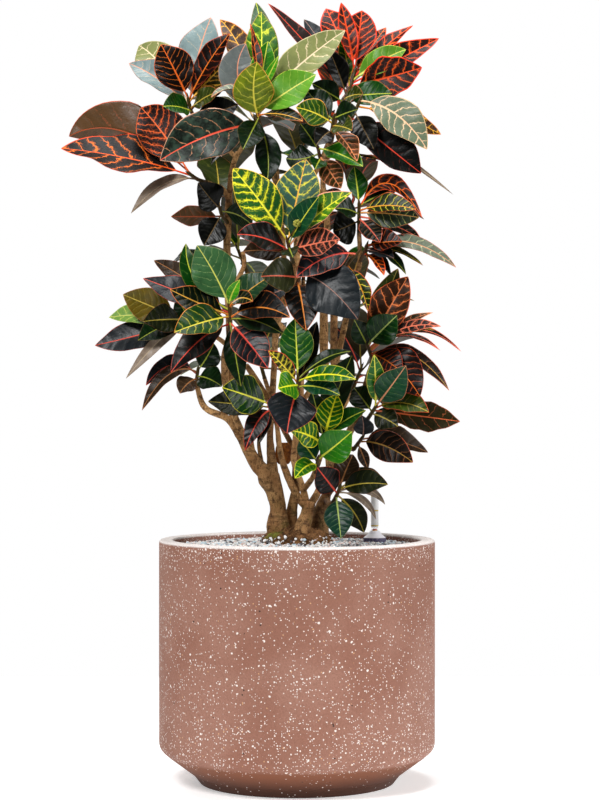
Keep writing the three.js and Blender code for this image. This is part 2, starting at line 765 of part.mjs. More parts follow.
// A leaf of a back shoot, the nth of its spiral, which faces up.
function backLeaf(foot, shoot, n, step, key) {
  const { lowest, highest, azimuthPerStep, elevationPerStep } = backForm;
  const height = n / (shoot.leaves - 1);
  const around = radians(goldenAngle * n + shoot.turn + azimuthPerStep * step.depth);
  const slope = lowest + (highest - lowest) * height + elevationPerStep * step.turn;
  const spread = 1 + backForm.lengthSpread * (2 * draw(key + 0.2) - 1);
  const length = shoot.length * (1 - backForm.topShortening * height) * spread;
  const along = new THREE.Vector3(1, 0, 0)
    .applyAxisAngle(new THREE.Vector3(0, -1, 0), radians(slope))
    .applyAxisAngle(new THREE.Vector3(0, 0, 1), around);
  const tip = foot.clone().addScaledVector(along, length);
  const face = new THREE.Vector3(0, 0, 1).addScaledVector(along, -along.z).normalize();
  const width = backForm.width + backForm.widthSpread * (2 * draw(key + 0.3) - 1);
  return leafBetween(foot, tip, face, { width, rise: backForm.rise, key });
}

// The ways to move a leaf clear, the smallest first.
const steps = [];
for (const depth of [0, 12, -12, 24, -24, 38, -38, 55, -55, 75, -75, 100]) {
  for (const turn of [0, 16, -16, 32, -32, 50, -50]) steps.push({ depth, turn });
}
steps.sort((a, b) => Math.abs(a.depth) + Math.abs(a.turn) - Math.abs(b.depth) - Math.abs(b.turn));

function crosses(solid, others) {
  const box = solid.boundingBox();
  return others.some((other) => {
    const apart = [0, 1, 2].some((i) => box.max[i] < other.box.min[i] || other.box.max[i] < box.min[i]);
    if (apart) return false;
    const shared = solid.intersect(other.solid);
    const crossing = !shared.isEmpty();
    shared.delete();
    return crossing;
  });
}

function obstacle(node, solid) {
  return { node, solid, box: solid.boundingBox() };
}

const croton = new THREE.Group();

// The planter: a round cast pot with a rounded rim, a chamfered lower body and a flat foot.
function planterSolid() {
  const { radius, height, wall, rimRound } = planter;
  const inner = radius - wall;
  const arc = (centre, level, round, angles) => angles.map((degrees) => {
    const angle = radians(degrees);
    return [centre + round * Math.cos(angle), level + round * Math.sin(angle)];
  });
  return turned(
    [
      [0, 0],
      [planter.footRadius, 0],
      [planter.chamferRadius, planter.chamferHeight],
      [planter.bodyCornerRadius, planter.bodyCornerHeight],
      ...arc(planter.bodyCornerRadius, planter.bodyCorner, radius - planter.bodyCornerRadius, [-40, 0]),
      ...arc(radius - rimRound, height - rimRound, rimRound, [0, 45, 90]),
      [inner + planter.rimChamfer, height],
      [inner, height - planter.rimChamfer],
      [inner, planter.floorCorner],
      [planter.floorRadius, planter.floorHeight],
      [0, planter.floorHeight],
    ],
    planter.sides,
  );
}

// A level ring of points about the Z axis. Each point is moved by a seeded draw, by up to shift along the
// radius and by up to relief in height.
function roughRing(radius, height, sides, { shift = 0, relief = 0, key = 0 }) {
  const points = [];
  for (let k = 0; k < sides; k += 1) {
    const angle = (2 * Math.PI * k) / sides;
    const reach = radius + shift * (2 * draw(key + k) - 1);
    const level = height + relief * (2 * draw(key + k + 0.5) - 1);
    points.push(new THREE.Vector3(reach * Math.cos(angle), reach * Math.sin(angle), level));
  }
  return points;
}

// The granulate that fills the planter, with a slightly domed bed of stones on top.
function gravelSolid() {
  const { rings, sides, edgeHeight, middleHeight, stoneHeight, stoneShift } = gravelBed;
  const wallRadius = (planter.radius - planter.wall) * Math.cos(Math.PI / planter.sides) - touchGap;
  const all = [
    roughRing(planter.floorRadius - 2, planter.floorHeight + touchGap, sides, {}),
    roughRing(wallRadius, planter.floorCorner + 3, sides, {}),
    roughRing(wallRadius, edgeHeight, sides, {}),
  ];
  for (let i = 1; i < rings; i += 1) {
    const radius = wallRadius * (1 - i / rings);
    const level = middleHeight + (edgeHeight - middleHeight) * (radius / wallRadius) ** 2;
    all.push(roughRing(radius, level, sides, { shift: stoneShift, relief: stoneHeight, key: 100 * i }));
  }
  return loft(all, new THREE.Vector3(0, 0, middleHeight));
}

// The root ball: a body under the gravel and a lumpy mound of soil and old roots above it.
function rootBallSolid(extra) {
  const { profile, top, lumps, sides } = rootBall;
  const rings = profile.map(([radius, height], i) => {
    const level = i === 0 ? height - extra : height + extra;
    return roughRing(radius + extra, level, sides, { shift: lumps * radius, key: 40 * i + 7 });
  });
  return loft(rings, new THREE.Vector3(0, 0, top + extra));
}

// The gauge's clear tube: closed at the top and open at its foot, where it stands on the collar.
function gaugeTubeSolid() {
  const { tubeRadius, tubeWall, tubeTop, tubeRound, collarTop, sides } = gauge;
  const inner = tubeRadius - tubeWall;
  const foot = collarTop + touchGap;
  return turned(
    [
      [0, tubeTop - tubeWall],
      [inner - tubeRound, tubeTop - tubeWall],
      [inner, tubeTop - tubeWall - tubeRound],
      [inner, foot],
      [tubeRadius, foot],
      [tubeRadius, tubeTop - tubeRound],
      [tubeRadius - tubeRound, tubeTop],
      [0, tubeTop],
    ],
    sides,
  ).translate(gauge.x, gauge.y, 0);
}

// A ring turned about the gauge's axis from a closed profile.
function gaugeRing(profile) {
  const closed = [...profile, profile[0]];
  const points = closed.map(([radius, height]) => new THREE.Vector2(radius, height));
  const geometry = new THREE.LatheGeometry(points, gauge.sides).rotateX(Math.PI / 2);
  return solidOfGeometry(geometry).translate(gauge.x, gauge.y, 0);
}

function gaugeCollarSolid() {
  const { collarTop, collarEdge, collarFoot, collarRadius, collarBore, collarNeck, slope } = gauge;
  return gaugeRing([
    [collarBore, collarFoot],
    [collarRadius, collarFoot],
    [collarRadius, collarEdge],
    [collarNeck + 0.7 * slope, collarTop - slope],
    [collarNeck, collarTop],
    [collarBore, collarTop],
  ]);
}

function gaugeShaftSolid() {
  const { shaftRadius, shaftWall, shaftFoot, collarFoot } = gauge;
  const top = collarFoot - touchGap;
  return gaugeRing([
    [shaftRadius - shaftWall, shaftFoot],
    [shaftRadius, shaftFoot],
    [shaftRadius, top],
    [shaftRadius - shaftWall, top],
  ]);
}

function gaugeFloatSolid() {
  const { floatTop, floatRod, floatRadius, floatLength, floatFoot, slope } = gauge;
  return turned(
    [
      [0, floatFoot],
      [floatRadius, floatFoot + slope],
      [floatRadius, floatFoot + floatLength],
      [floatRod, floatFoot + floatLength + slope],
      [floatRod, floatTop],
      [0, floatTop],
    ],
    gauge.sides,
  ).translate(gauge.x, gauge.y, 0);
}

// The room that the gauge takes in the granulate.
function gaugeRoom() {
  return turned(
    [
      [0, planter.floorHeight],
      [gauge.shaftRadius + touchGap, planter.floorHeight],
      [gauge.shaftRadius + touchGap, gauge.collarFoot - gauge.slope],
      [gauge.collarRadius + touchGap, gauge.collarFoot - touchGap],
      [gauge.collarRadius + touchGap, planter.height],
      [0, planter.height],
    ],
    gauge.sides,
  ).translate(gauge.x, gauge.y, 0);
}

// The dry leaf: a thin curled plate.
function dryLeafSolid() {
  const { centre, halfWidth, halfHeight, thickness } = dryLeaf;
  const middle = onSheet(...centre);
  const rings = [-1, -0.5, 0, 0.5, 1].map((height) => {
    const points = [];
    for (const [across, back] of [[-1, 0], [0, 0], [1, 0], [1, 1], [0, 1], [-1, 1]]) {
      const width = halfWidth * (1 - 0.25 * height * height);
      const curl = 5 * across * across + 3 * height * height;
      const place = new THREE.Vector3(across * width, curl + back * thickness, height * halfHeight);
      points.push(place.add(middle));
    }
    return points;
  });
  return loft(rings);
}

// Woody stems first, because the shoots keep clear of them.
const woodSolids = {};
const woodRoom = [];
for (const [name, { limbs }] of Object.entries(woodyStems)) {
  const branches = name === 'stem_back' ? backShoots.map(({ foot }) => foot) : [];
  const pieces = [...limbs.map((places) => limb(places)), ...branches.map((foot) => backBranch(foot))];
  woodSolids[name] = joined(pieces);
  for (const places of limbs) woodRoom.push(obstacle(name, limb(places, touchGap)));
  for (const foot of branches) woodRoom.push(obstacle(name, backBranch(foot, touchGap)));
}

// Each shoot's green stem, from inside its limb to a pointed bud.
function stemOf(path) {
  const along = path[path.length - 1].clone().sub(path[path.length - 2]).normalize();
  const point = path[path.length - 1].clone().addScaledVector(along, stemForm.budLength);
  const share = (i) => i / (path.length - 1);
  const thicknesses = path.map((place, i) => stemForm.foot + (stemForm.top - stemForm.foot) * share(i));
  return bar(path, thicknesses, stemForm.sides, { point, parallel: true });
}

function pointOn(path, share) {
  const along = share * (path.length - 1);
  const i = Math.min(Math.floor(along), path.length - 2);
  return path[i].clone().lerp(path[i + 1], along - i);
}

const shoots = Object.entries(frontShoots).map(([name, shoot]) => ({
  name,
  color: shoot.color,
  path: shoot.stem.map((place) => onSheet(...place)),
  leafCount: shoot.leaves.length,
  leafAt: (foot, n, step, key) => frontLeaf(foot, shoot.leaves[n], step, key),
  bud: shoot.bud,
}));
backShoots.forEach((shoot, i) => {
  const foot = new THREE.Vector3(...shoot.foot);
  const outward = foot.clone().sub(backStemAt(foot.z)).multiplyScalar(backForm.lean).setZ(1).normalize();
  const middle = foot.clone().addScaledVector(outward, backForm.stemLength / 2);
  const top = foot.clone().addScaledVector(outward, backForm.stemLength);
  shoots.push({
    name: `shoot_back_${i + 1}`,
    color: shoot.color,
    path: [foot, middle, top],
    leafCount: shoot.leaves,
    leafAt: (base, n, step, key) => backLeaf(base, shoot, n, step, key),
  });
});

const woodHoles = joined(woodRoom.map(({ solid }) => solid));
const inTheWay = [
  obstacle('planter', planterSolid()),
  obstacle('gauge', gaugeTubeSolid()),
  obstacle('gauge', gaugeCollarSolid()),
  obstacle('dry_leaf', dryLeafSolid()),
  ...shoots.map(({ name, path }) => obstacle(name, stemOf(path))),
];
const { lowestFoot, highestFoot, bladeStart } = leafForm;

// Leaves are placed one by one, each at the smallest step that keeps it clear of everything before it.
shoots.forEach((shoot, shootIndex) => {
  const pieces = [stemOf(shoot.path)];
  const ownBlades = [];
  for (let n = 0; n < shoot.leafCount; n += 1) {
    const key = 31 * shootIndex + n + 1;
    const share = lowestFoot + ((highestFoot - lowestFoot) * (n + 1)) / shoot.leafCount;
    const foot = pointOn(shoot.path, share);
    const others = inTheWay.filter(({ node }) => node !== shoot.name);
    const clearOfOthers = (leaf) => {
      const blade = leafSolid(leaf, bladeStart, leafForm.room);
      return !crosses(blade, woodRoom) && !crosses(leafSolid(leaf, 0, leafForm.room), others);
    };
    const leaves = steps.map((step) => () => shoot.leafAt(foot, n, step, key));
    let chosen = null;
    let crossingOwn = null;
    for (const make of leaves) {
      const leaf = make();
      if (!clearOfOthers(leaf)) continue;
      if (!crosses(leafSolid(leaf, leafForm.petiole, leafForm.room), ownBlades)) {
        chosen = leaf;
        break;
      }
      crossingOwn = crossingOwn ?? leaf;
    }
    const leaf = chosen ?? crossingOwn;
    if (!leaf) throw new Error(`no room for leaf ${n + 1} of ${shoot.name}`);
    pieces.push(leafSolid(leaf));
    ownBlades.push(obstacle(shoot.name, leafSolid(leaf, leafForm.petiole)));
    inTheWay.push(obstacle(shoot.name, leafSolid(leaf)));
  }
  if (shoot.bud) {
    const { stalkEnd, thickness, radius } = shoot.bud;
    const end = onSheet(...stalkEnd);
    const start = pointOn(shoot.path, highestFoot);
    pieces.push(bar([start, end], [thickness, thickness], stemForm.sides));
    const ball = new THREE.IcosahedronGeometry(radius, 1).translate(end.x, end.y, end.z + radius * 0.7);
    pieces.push(solidOfGeometry(ball));
  }
  const solid = largestBody(joined(pieces).subtract(woodHoles));
  croton.add(meshOf(shoot.name, solid, finish(shoot.color, 0.42)));
});

croton.add(meshOf('planter', planterSolid(), finish(0xad8272, 0.62)));
const gravelHoles = joined([rootBallSolid(touchGap), gaugeRoom(), woodHoles]);
croton.add(meshOf('gravel', largestBody(gravelSolid().subtract(gravelHoles)), finish(0xb8b4ae, 0.85)));
croton.add(meshOf('root_ball', largestBody(rootBallSolid(0).subtract(woodHoles)), finish(0x4a3524, 0.95)));
for (const [name, { color }] of Object.entries(woodyStems)) {
  croton.add(meshOf(name, woodSolids[name], finish(color, 0.8)));
}
croton.add(meshOf('gauge_tube', gaugeTubeSolid(), finish(0xe4e4e6, 0.1)));
croton.add(meshOf('gauge_collar', gaugeCollarSolid(), finish(0x77707c, 0.45)));
croton.add(meshOf('gauge_shaft', gaugeShaftSolid(), finish(0x6d6670, 0.5)));
croton.add(meshOf('gauge_float', gaugeFloatSolid(), finish(0xb5402c, 0.4)));
croton.add(meshOf('dry_leaf', dryLeafSolid(), finish(0x9a5f22, 0.8)));

export default croton;
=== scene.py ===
import math

import bpy
import numpy as np
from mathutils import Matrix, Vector, kdtree


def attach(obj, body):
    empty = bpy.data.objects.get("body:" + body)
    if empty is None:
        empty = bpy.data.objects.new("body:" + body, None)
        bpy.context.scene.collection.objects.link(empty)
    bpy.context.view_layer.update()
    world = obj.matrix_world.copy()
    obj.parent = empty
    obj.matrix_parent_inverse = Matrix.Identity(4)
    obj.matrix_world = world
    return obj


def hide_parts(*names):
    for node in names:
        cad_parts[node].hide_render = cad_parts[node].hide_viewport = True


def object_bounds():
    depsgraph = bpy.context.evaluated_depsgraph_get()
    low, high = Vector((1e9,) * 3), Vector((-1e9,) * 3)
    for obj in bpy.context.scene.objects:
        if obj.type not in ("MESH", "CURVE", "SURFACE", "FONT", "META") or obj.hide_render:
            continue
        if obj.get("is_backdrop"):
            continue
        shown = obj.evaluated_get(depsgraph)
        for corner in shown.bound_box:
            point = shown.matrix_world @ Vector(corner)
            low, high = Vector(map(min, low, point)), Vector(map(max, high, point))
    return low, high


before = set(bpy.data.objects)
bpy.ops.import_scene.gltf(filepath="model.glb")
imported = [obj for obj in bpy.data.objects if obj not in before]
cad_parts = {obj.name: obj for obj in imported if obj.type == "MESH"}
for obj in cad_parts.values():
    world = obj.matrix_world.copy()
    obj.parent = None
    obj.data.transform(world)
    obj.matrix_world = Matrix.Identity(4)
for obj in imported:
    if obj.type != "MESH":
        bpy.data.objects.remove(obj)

cadBox = [list(corner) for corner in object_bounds()]
mm = 0.001
spiralTurn = math.radians(137.508)  # from one stone or flower to the next, so that none line up

# The plant is laid out on a front sheet, as an eye straight in front of it sees it. A place on it is
# [column, row, depth]: column and row in sheet units, and depth in millimetres behind the pot's axis.
sheet = {
    "eye": (4.7, -3470.0, 595.0), "column": 300.0, "row": 400.5, "distance": 2222.0,
    "lens": 100.0, "sensor": 36.0,
}


def onSheet(column, row, depth):  # millimetres
    eyeX, eyeY, eyeZ = sheet["eye"]
    scale = (depth - eyeY) / sheet["distance"]
    return np.array([eyeX + (column - sheet["column"]) * scale, depth, eyeZ - (row - sheet["row"]) * scale])


def draw(key):  # looks random from 0 to 1, and is the same each time for the same key
    large = np.sin(np.asarray(key, float) * 12.9898 + 78.233) * 43758.5453
    return large - np.floor(large)


def unit(v):
    return v / np.linalg.norm(v, axis=-1, keepdims=True)


def dot(a, b):
    return np.sum(a * b, axis=-1, keepdims=True)


def around(sides):  # the angles of a ring's corners
    return np.arange(sides) * 2 * math.pi / sides


def paint(red, green, blue):  # a colour from its three screen values, 0 to 255
    values = np.array([red, green, blue]) / 255.0
    linear = np.where(values <= 0.04045, values / 12.92, ((values + 0.055) / 1.055) ** 2.4)
    return (*linear.tolist(), 1.0)


# Shader helper: one wrapped socket, so that sums can be written as sums.
class Wire:
    def __init__(self, tree, socket=None):
        self.tree = tree
        self.socket = socket

    def node(self, kind, settings=None, sockets=None, output=0):
        made = self.tree.nodes.new(kind)
        for key, value in (settings or {}).items():
            if key == "stops":
                ramp = made.color_ramp
                while len(ramp.elements) < len(value):
                    ramp.elements.new(0.5)
                for element, (place, color) in zip(ramp.elements, value):
                    element.position = place
                    element.color = color
            else:
                setattr(made, key, value)
        for key, value in (sockets or {}).items():
            if isinstance(value, Wire):
                self.tree.links.new(value.socket, made.inputs[key])
            else:
                made.inputs[key].default_value = value
        return Wire(self.tree, made.outputs[output])

    def math(self, operation, *values):
        return self.node("ShaderNodeMath", {"operation": operation}, dict(enumerate(values)))

    def __add__(self, other):
        return self.math("ADD", self, other)

    def __radd__(self, other):
        return self.math("ADD", other, self)

    def __sub__(self, other):
        return self.math("SUBTRACT", self, other)

    def __rsub__(self, other):
        return self.math("SUBTRACT", other, self)

    def __mul__(self, other):
        return self.math("MULTIPLY", self, other)

    def __rmul__(self, other):
        return self.math("MULTIPLY", other, self)

    def __truediv__(self, other):
        return self.math("DIVIDE", self, other)

    def __rtruediv__(self, other):
        return self.math("DIVIDE", other, self)

    def __abs__(self):
        return self.math("ABSOLUTE", self)

    def most(self, other):
        return self.math("MAXIMUM", self, other)

    def fract(self):
        return self.math("FRACT", self)

    def over(self, low, high, low2=0.0, high2=1.0):  # smooth step from low2 at low to high2 at high
        settings = {"interpolation_type": "SMOOTHSTEP"}
        return self.node("ShaderNodeMapRange", settings, {0: self, 1: low, 2: high, 3: low2, 4: high2})

    def blend(self, low, high, mode="MIX"):  # colours mixed by this socket
        settings = {"data_type": "RGBA", "blend_type": mode, "clamp_factor": True}
        return self.node("ShaderNodeMix", settings, {0: self, 6: low, 7: high}, output=2)

    def part(self, which):  # one of X, Y, Z of a vector
        return self.node("ShaderNodeSeparateXYZ", {}, {0: self}, output="XYZ".index(which))

    def attribute(self, name, output=0):
        return self.node("ShaderNodeAttribute", {"attribute_name": name}, {}, output)

    def place(self):
        return self.node("ShaderNodeTexCoord", {}, {}, output=3)

    def noise(self, where, scale, detail=2.0, roughness=0.5):
        sockets = {"Vector": where, "Scale": scale, "Detail": detail, "Roughness": roughness}
        return self.node("ShaderNodeTexNoise", {}, sockets)

    def cells(self, where, scale, feature="F1"):  # distance from the nearest cell's middle, or to its edge
        return self.node("ShaderNodeTexVoronoi", {"feature": feature}, {"Vector": where, "Scale": scale})

    def chances(self, where, scale, channel=0):  # one random value for each cell
        color = self.node("ShaderNodeTexVoronoi", {"feature": "F1"}, {"Vector": where, "Scale": scale}, 1)
        return self.node("ShaderNodeSeparateColor", {}, {0: color}, channel)

    def scaled(self, factors):
        return self.node("ShaderNodeMapping", {}, {"Vector": self, "Scale": factors})

    def bump(self, height, strength, distance):
        return self.node("ShaderNodeBump", {}, {"Strength": strength, "Distance": distance, "Height": height})


def newMaterial(name):  # the material, its first wire, and a function that sets the shader's sockets
    material = bpy.data.materials.new(name)
    material.use_nodes = True
    tree = material.node_tree
    shader = next(n for n in tree.nodes if n.type == "BSDF_PRINCIPLED")

    def finish(sockets):
        for key, value in sockets.items():
            if isinstance(value, Wire):
                tree.links.new(value.socket, shader.inputs[key])
            else:
                shader.inputs[key].default_value = value
        return material

    return Wire(tree), finish


# Mesh helper: one finished piece from a shell, which is its points in millimetres and its arrays of faces.
# Its points are held inside the box of the whole CAD model.
def makePiece(name, shell, material, slot, nodes, attributes=None, sharpAngle=None):
    mesh = bpy.data.meshes.new(name)
    points = np.clip(np.asarray(shell[0], float) * mm, *cadBox)
    faces = [f for f in shell[1:] if len(f)]
    counts = np.concatenate([np.full(len(f), f.shape[1], int) for f in faces])
    loops = np.concatenate([f.ravel() for f in faces])
    mesh.vertices.add(len(points))
    mesh.vertices.foreach_set("co", points.ravel())
    mesh.loops.add(len(loops))
    mesh.loops.foreach_set("vertex_index", loops)
    mesh.polygons.add(len(counts))
    mesh.polygons.foreach_set("loop_start", np.concatenate([[0], np.cumsum(counts)[:-1]]))
    mesh.polygons.foreach_set("loop_total", counts)
    mesh.polygons.foreach_set("use_smooth", np.ones(len(counts), bool))
    for key, values in (attributes or {}).items():
        values = np.asarray(values, np.float32)
        kind, field = ("FLOAT", "value") if values.ndim == 1 else ("FLOAT_VECTOR", "vector")
        mesh.attributes.new(key, kind, "POINT").data.foreach_set(field, values.ravel())
    mesh.update(calc_edges=True)
    mesh.validate()
    if sharpAngle:
        mesh.set_sharp_from_angle(angle=math.radians(sharpAngle))
    mesh.materials.append(material)
    piece = bpy.data.objects.new(name, mesh)
    bpy.context.scene.collection.objects.link(piece)
    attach(piece, "root")
    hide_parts(*nodes)
    return piece


# Faces of a tube of rings: quads between neighbouring rings, and a fan to a pole at each end. Ring r holds
# points r * count to r * count + count - 1, and the two poles follow the last ring.
def tubeFaces(rings, count):
    r, k = np.meshgrid(np.arange(rings - 1), np.arange(count), indexing="ij")
    low = r * count + k
    lowNext = r * count + (k + 1) % count
    quads = np.stack([low, lowNext, lowNext + count, low + count], -1).reshape(-1, 4)
    k = np.arange(count)
    after = (k + 1) % count
    last, pole = (rings - 1) * count, np.full(count, rings * count)
    start = np.stack([pole, after, k], -1)
    end = np.stack([pole + 1, last + k, last + after], -1)
    return quads, np.concatenate([start, end])


class Parts:  # gathers closed shells into one mesh
    def __init__(self):
        self.points, self.quads, self.triangles, self.values = [], [], [], {}
        self.size = 0

    def add(self, points, quads, triangles, **values):
        self.points.append(points)
        self.quads.append(quads + self.size)
        self.triangles.append(triangles + self.size)
        for key, value in values.items():
            value = np.asarray(value, float)
            if value.ndim == 0:
                value = np.full(len(points), value)
            elif len(value) != len(points):
                value = np.tile(value, (len(points), 1))
            self.values.setdefault(key, []).append(value)
        self.size += len(points)

    def piece(self, name, material, slot, nodes, **more):
        shell = [np.concatenate(arrays) for arrays in (self.points, self.quads, self.triangles)]
        attributes = {key: np.concatenate(value) for key, value in self.values.items()}
        return makePiece(name, shell, material, slot, nodes, attributes, **more)


# A surface turned about an upright axis from a profile of [radius, height], worked out from the axis at
# the foot, round the outside, to the axis again: x = r cos a, y = r sin a, z = h.
def turnedShell(profile, sides, x=0.0, y=0.0, ring=False):
    profile = np.asarray(profile, float)
    angle = around(sides)
    rows = profile if ring else profile[1:-1]
    points = np.stack([
        x + rows[:, :1] * np.cos(angle), y + rows[:, :1] * np.sin(angle), np.repeat(rows[:, 1:], sides, 1),
    ], -1).reshape(-1, 3)
    if not ring:
        poles = np.array([[x, y, profile[0, 1]], [x, y, profile[-1, 1]]])
        quads, fans = tubeFaces(len(rows), sides)
        return np.concatenate([points, poles]), quads, fans
    r, k = np.meshgrid(np.arange(len(rows)), np.arange(sides), indexing="ij")
    after = (r + 1) % len(rows)
    aside = (k + 1) % sides
    quads = np.stack([r * sides + k, r * sides + aside, after * sides + aside, after * sides + k], -1)
    return points, quads.reshape(-1, 4), np.zeros((0, 3), int)


# A profile with its corners rounded: each inner corner becomes an arc of points that touches both sides
# at distance round from the corner.
def rounded(profile, rounds, steps=4):
    profile = np.asarray(profile, float)
    out = [profile[:1]]
    for before, corner, after, size in zip(profile[:-2], profile[1:-1], profile[2:], rounds):
        if not size:
            out.append(corner[None])
            continue
        start = corner + unit(before - corner) * size
        end = corner + unit(after - corner) * size
        s = np.linspace(0, 1, steps + 1)[:, None]
        out.append(start * (1 - s) ** 2 + corner * 2 * s * (1 - s) + end * s ** 2)
    out.append(profile[-1:])
    return np.concatenate(out)


# A smooth curve through given rows (places and thicknesses alike): the Catmull-Rom cubic between each two.
def smoothThrough(rows, spacing):
    rows = np.asarray(rows, float)
    padded = np.concatenate([2 * rows[:1] - rows[1:2], rows, 2 * rows[-1:] - rows[-2:-1]])
    out = []
    for a, b, c, d in zip(padded[:-3], padded[1:-2], padded[2:-1], padded[3:]):
        count = max(int(np.linalg.norm((c - b)[:3]) / spacing), 1)
        s = (np.arange(count) / count)[:, None]
        square, cube = 2 * a - 5 * b + 4 * c - d, 3 * b - 3 * c + d - a
        out.append(0.5 * (2 * b + (c - a) * s + square * s ** 2 + cube * s ** 3))
    return np.concatenate(out + [rows[-1:]])


# A profile with more points on its long sides, so that none is much longer than the gap given for its end.
def withMoreRows(profile, gaps):
    rows = [profile[:1]]
    for start, end, gap in zip(profile[:-1], profile[1:], gaps[1:]):
        count = max(int(np.linalg.norm(end - start) / gap), 1)
        rows.append(start + (end - start) * (np.arange(1, count + 1) / count)[:, None])
    return np.concatenate(rows)


# Frames along a path: the direction, and two square to it that turn as little as may be.
def framesAlong(path):
    along = unit(np.gradient(path, axis=0))
    across = np.empty_like(path)
    across[0] = unit(np.cross(along[0], [0.3, 1.0, 0.1]))
    for i in range(1, len(path)):
        kept = across[i - 1] - along[i] * np.dot(across[i - 1], along[i])
        across[i] = unit(kept)
    return along, across, np.cross(along, across)


# A round bar along a path: at place i, point k is path + radius (across cos a + side sin a), and the
# radius is the given one times 1 + the relief at [i, k].
def barShell(path, radii, sides, relief=0.0, endLength=0.0):
    along, across, side = framesAlong(path)
    angle = around(sides)
    radius = (np.asarray(radii)[:, None] * (1 + relief))[..., None]
    ring = across[:, None] * np.cos(angle)[None, :, None] + side[:, None] * np.sin(angle)[None, :, None]
    points = (path[:, None] + radius * ring).reshape(-1, 3)
    poles = np.stack([path[0], path[-1] + along[-1] * endLength])
    quads, fans = tubeFaces(len(path), sides)
    return np.concatenate([points, poles]), quads, fans


# Camera, light and floor
lights = {
    "lamps": [  # name, place, aim, size, power: metres and watts
        ("keyLight", (-1.3, -2.4, 2.7), (0, 0, 0.8), 1.1, 104),
        ("fillLight", (3.0, -0.8, 1.5), (0, 0, 0.6), 1.4, 70),
        ("topLight", (0.1, -0.1, 3.0), (0, 0, 0.8), 1.2, 52),
        ("rimLight", (-1.6, 2.6, 2.0), (0, 0, 0.6), 1.6, 40),
    ],
    "roomColor": (1, 1, 1, 1), "roomStrength": 0.06, "floorHalf": 1.3, "floorGlow": 0.42,
    "floorColor": (0.93, 0.93, 0.93, 1), "floorShade": (0.9, 0.9, 0.9, 1),
}


def setStage():
    eye = np.array(sheet["eye"]) * mm
    camera = bpy.data.objects.new("camera", bpy.data.cameras.new("camera"))
    camera.location = eye
    camera.rotation_euler = (math.radians(90), 0, 0)
    camera.data.lens = sheet["lens"]
    camera.data.sensor_fit = "VERTICAL"
    camera.data.sensor_height = sheet["sensor"]
    bpy.context.scene.collection.objects.link(camera)
    bpy.context.scene.camera = camera
    for name, place, aim, size, power in lights["lamps"]:
        lamp = bpy.data.objects.new(name, bpy.data.lights.new(name, "AREA"))
        lamp.data.size = size
        lamp.data.energy = power
        lamp.location = place
        lamp.rotation_euler = (Vector(aim) - Vector(place)).to_track_quat("-Z", "Y").to_euler()
        bpy.context.scene.collection.objects.link(lamp)
    world = bpy.data.worlds.new("studio")
    bpy.context.scene.world = world
    world.use_nodes = True
    background = next(n for n in world.node_tree.nodes if n.type == "BACKGROUND")
    background.inputs["Color"].default_value = lights["roomColor"]
    direct = Wire(world.node_tree).node("ShaderNodeLightPath")  # the white room lights less than it shows
    strength = direct * (1.0 - lights["roomStrength"]) + lights["roomStrength"]
    world.node_tree.links.new(strength.socket, background.inputs["Strength"])
    bpy.context.scene.view_settings.view_transform = "Standard"
    mesh = bpy.data.meshes.new("floor")
    h = lights["floorHalf"]
    mesh.from_pydata([(-h, -h, 0), (h, -h, 0), (h, h, 0), (-h, h, 0)], [], [(0, 1, 2, 3)])
    wire, finish = newMaterial("paleFloor")
    speck = wire.noise(wire.place(), 3.0)
    mesh.materials.append(finish({
        "Base Color": speck.blend(lights["floorColor"], lights["floorShade"]), "Roughness": 0.9,
        "Specular IOR Level": 0.1, "Emission Color": (1, 1, 1, 1), "Emission Strength": lights["floorGlow"],
    }))
    floor = bpy.data.objects.new("floor", mesh)
    bpy.context.scene.collection.objects.link(floor)
    floor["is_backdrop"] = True


setStage()
print("stage set")


# Planter: cast stone with white chips
planter = {
    "profile": [
        [0, 0], [151, 0], [162, 14], [201, 43], [215, 55], [215, 378], [193, 378], [193, 92], [140, 34], [0, 34],
    ],
    "rounds": [1.5, 2, 4, 9, 5, 3, 6, 3], "sides": 160, "rowGap": 20,
    "stone": paint(142, 96, 79), "stoneLight": paint(155, 112, 96), "stoneDark": paint(117, 76, 59),
    # the foot colours are painted shade: the band below the body's lower edge is darker and redder than the stone,
    # and darker still towards the floor
    "foot": paint(118, 66, 38), "footFrom": (49, 41), "footPaintedShade": paint(58, 27, 13), "footPaintedShadeFrom": (42, 6),
    "chip": paint(232, 221, 214), "chipGold": paint(206, 158, 114), "chipsEnd": (36, 50),
    "upperBand": (338, 368), "lowerBand": (190, 60), "pit": paint(54, 34, 27), "pitCells": 120.0,
    "pitShare": 0.055, "pitSize": (0.2, 0.12), "rimPale": paint(240, 234, 230), "rimFrom": (373.5, 376.5),
    "cloudScale": 9.0, "grainScale": 420.0, "patchScale": 5.0, "darkShare": 0.55, "footShare": 0.94,
    "footPaintedShadeShare": 0.85, "upperShare": 0.55, "lowerShare": 0.2, "patchShare": 0.14, "footChips": 0.12,
    "ragged": 0.42, "roughness": 0.72, "chipGloss": 0.18, "specular": 0.35, "bump": (0.35, 0.0012),
    "chips": [  # cells per metre, share of cells with a chip, size in the cell, colour
        (125.0, 0.15, 0.24, "chip"), (210.0, 0.30, 0.28, "chip"), (360.0, 0.32, 0.34, "chip"),
        (250.0, 0.06, 0.28, "chipGold"),
    ],
}


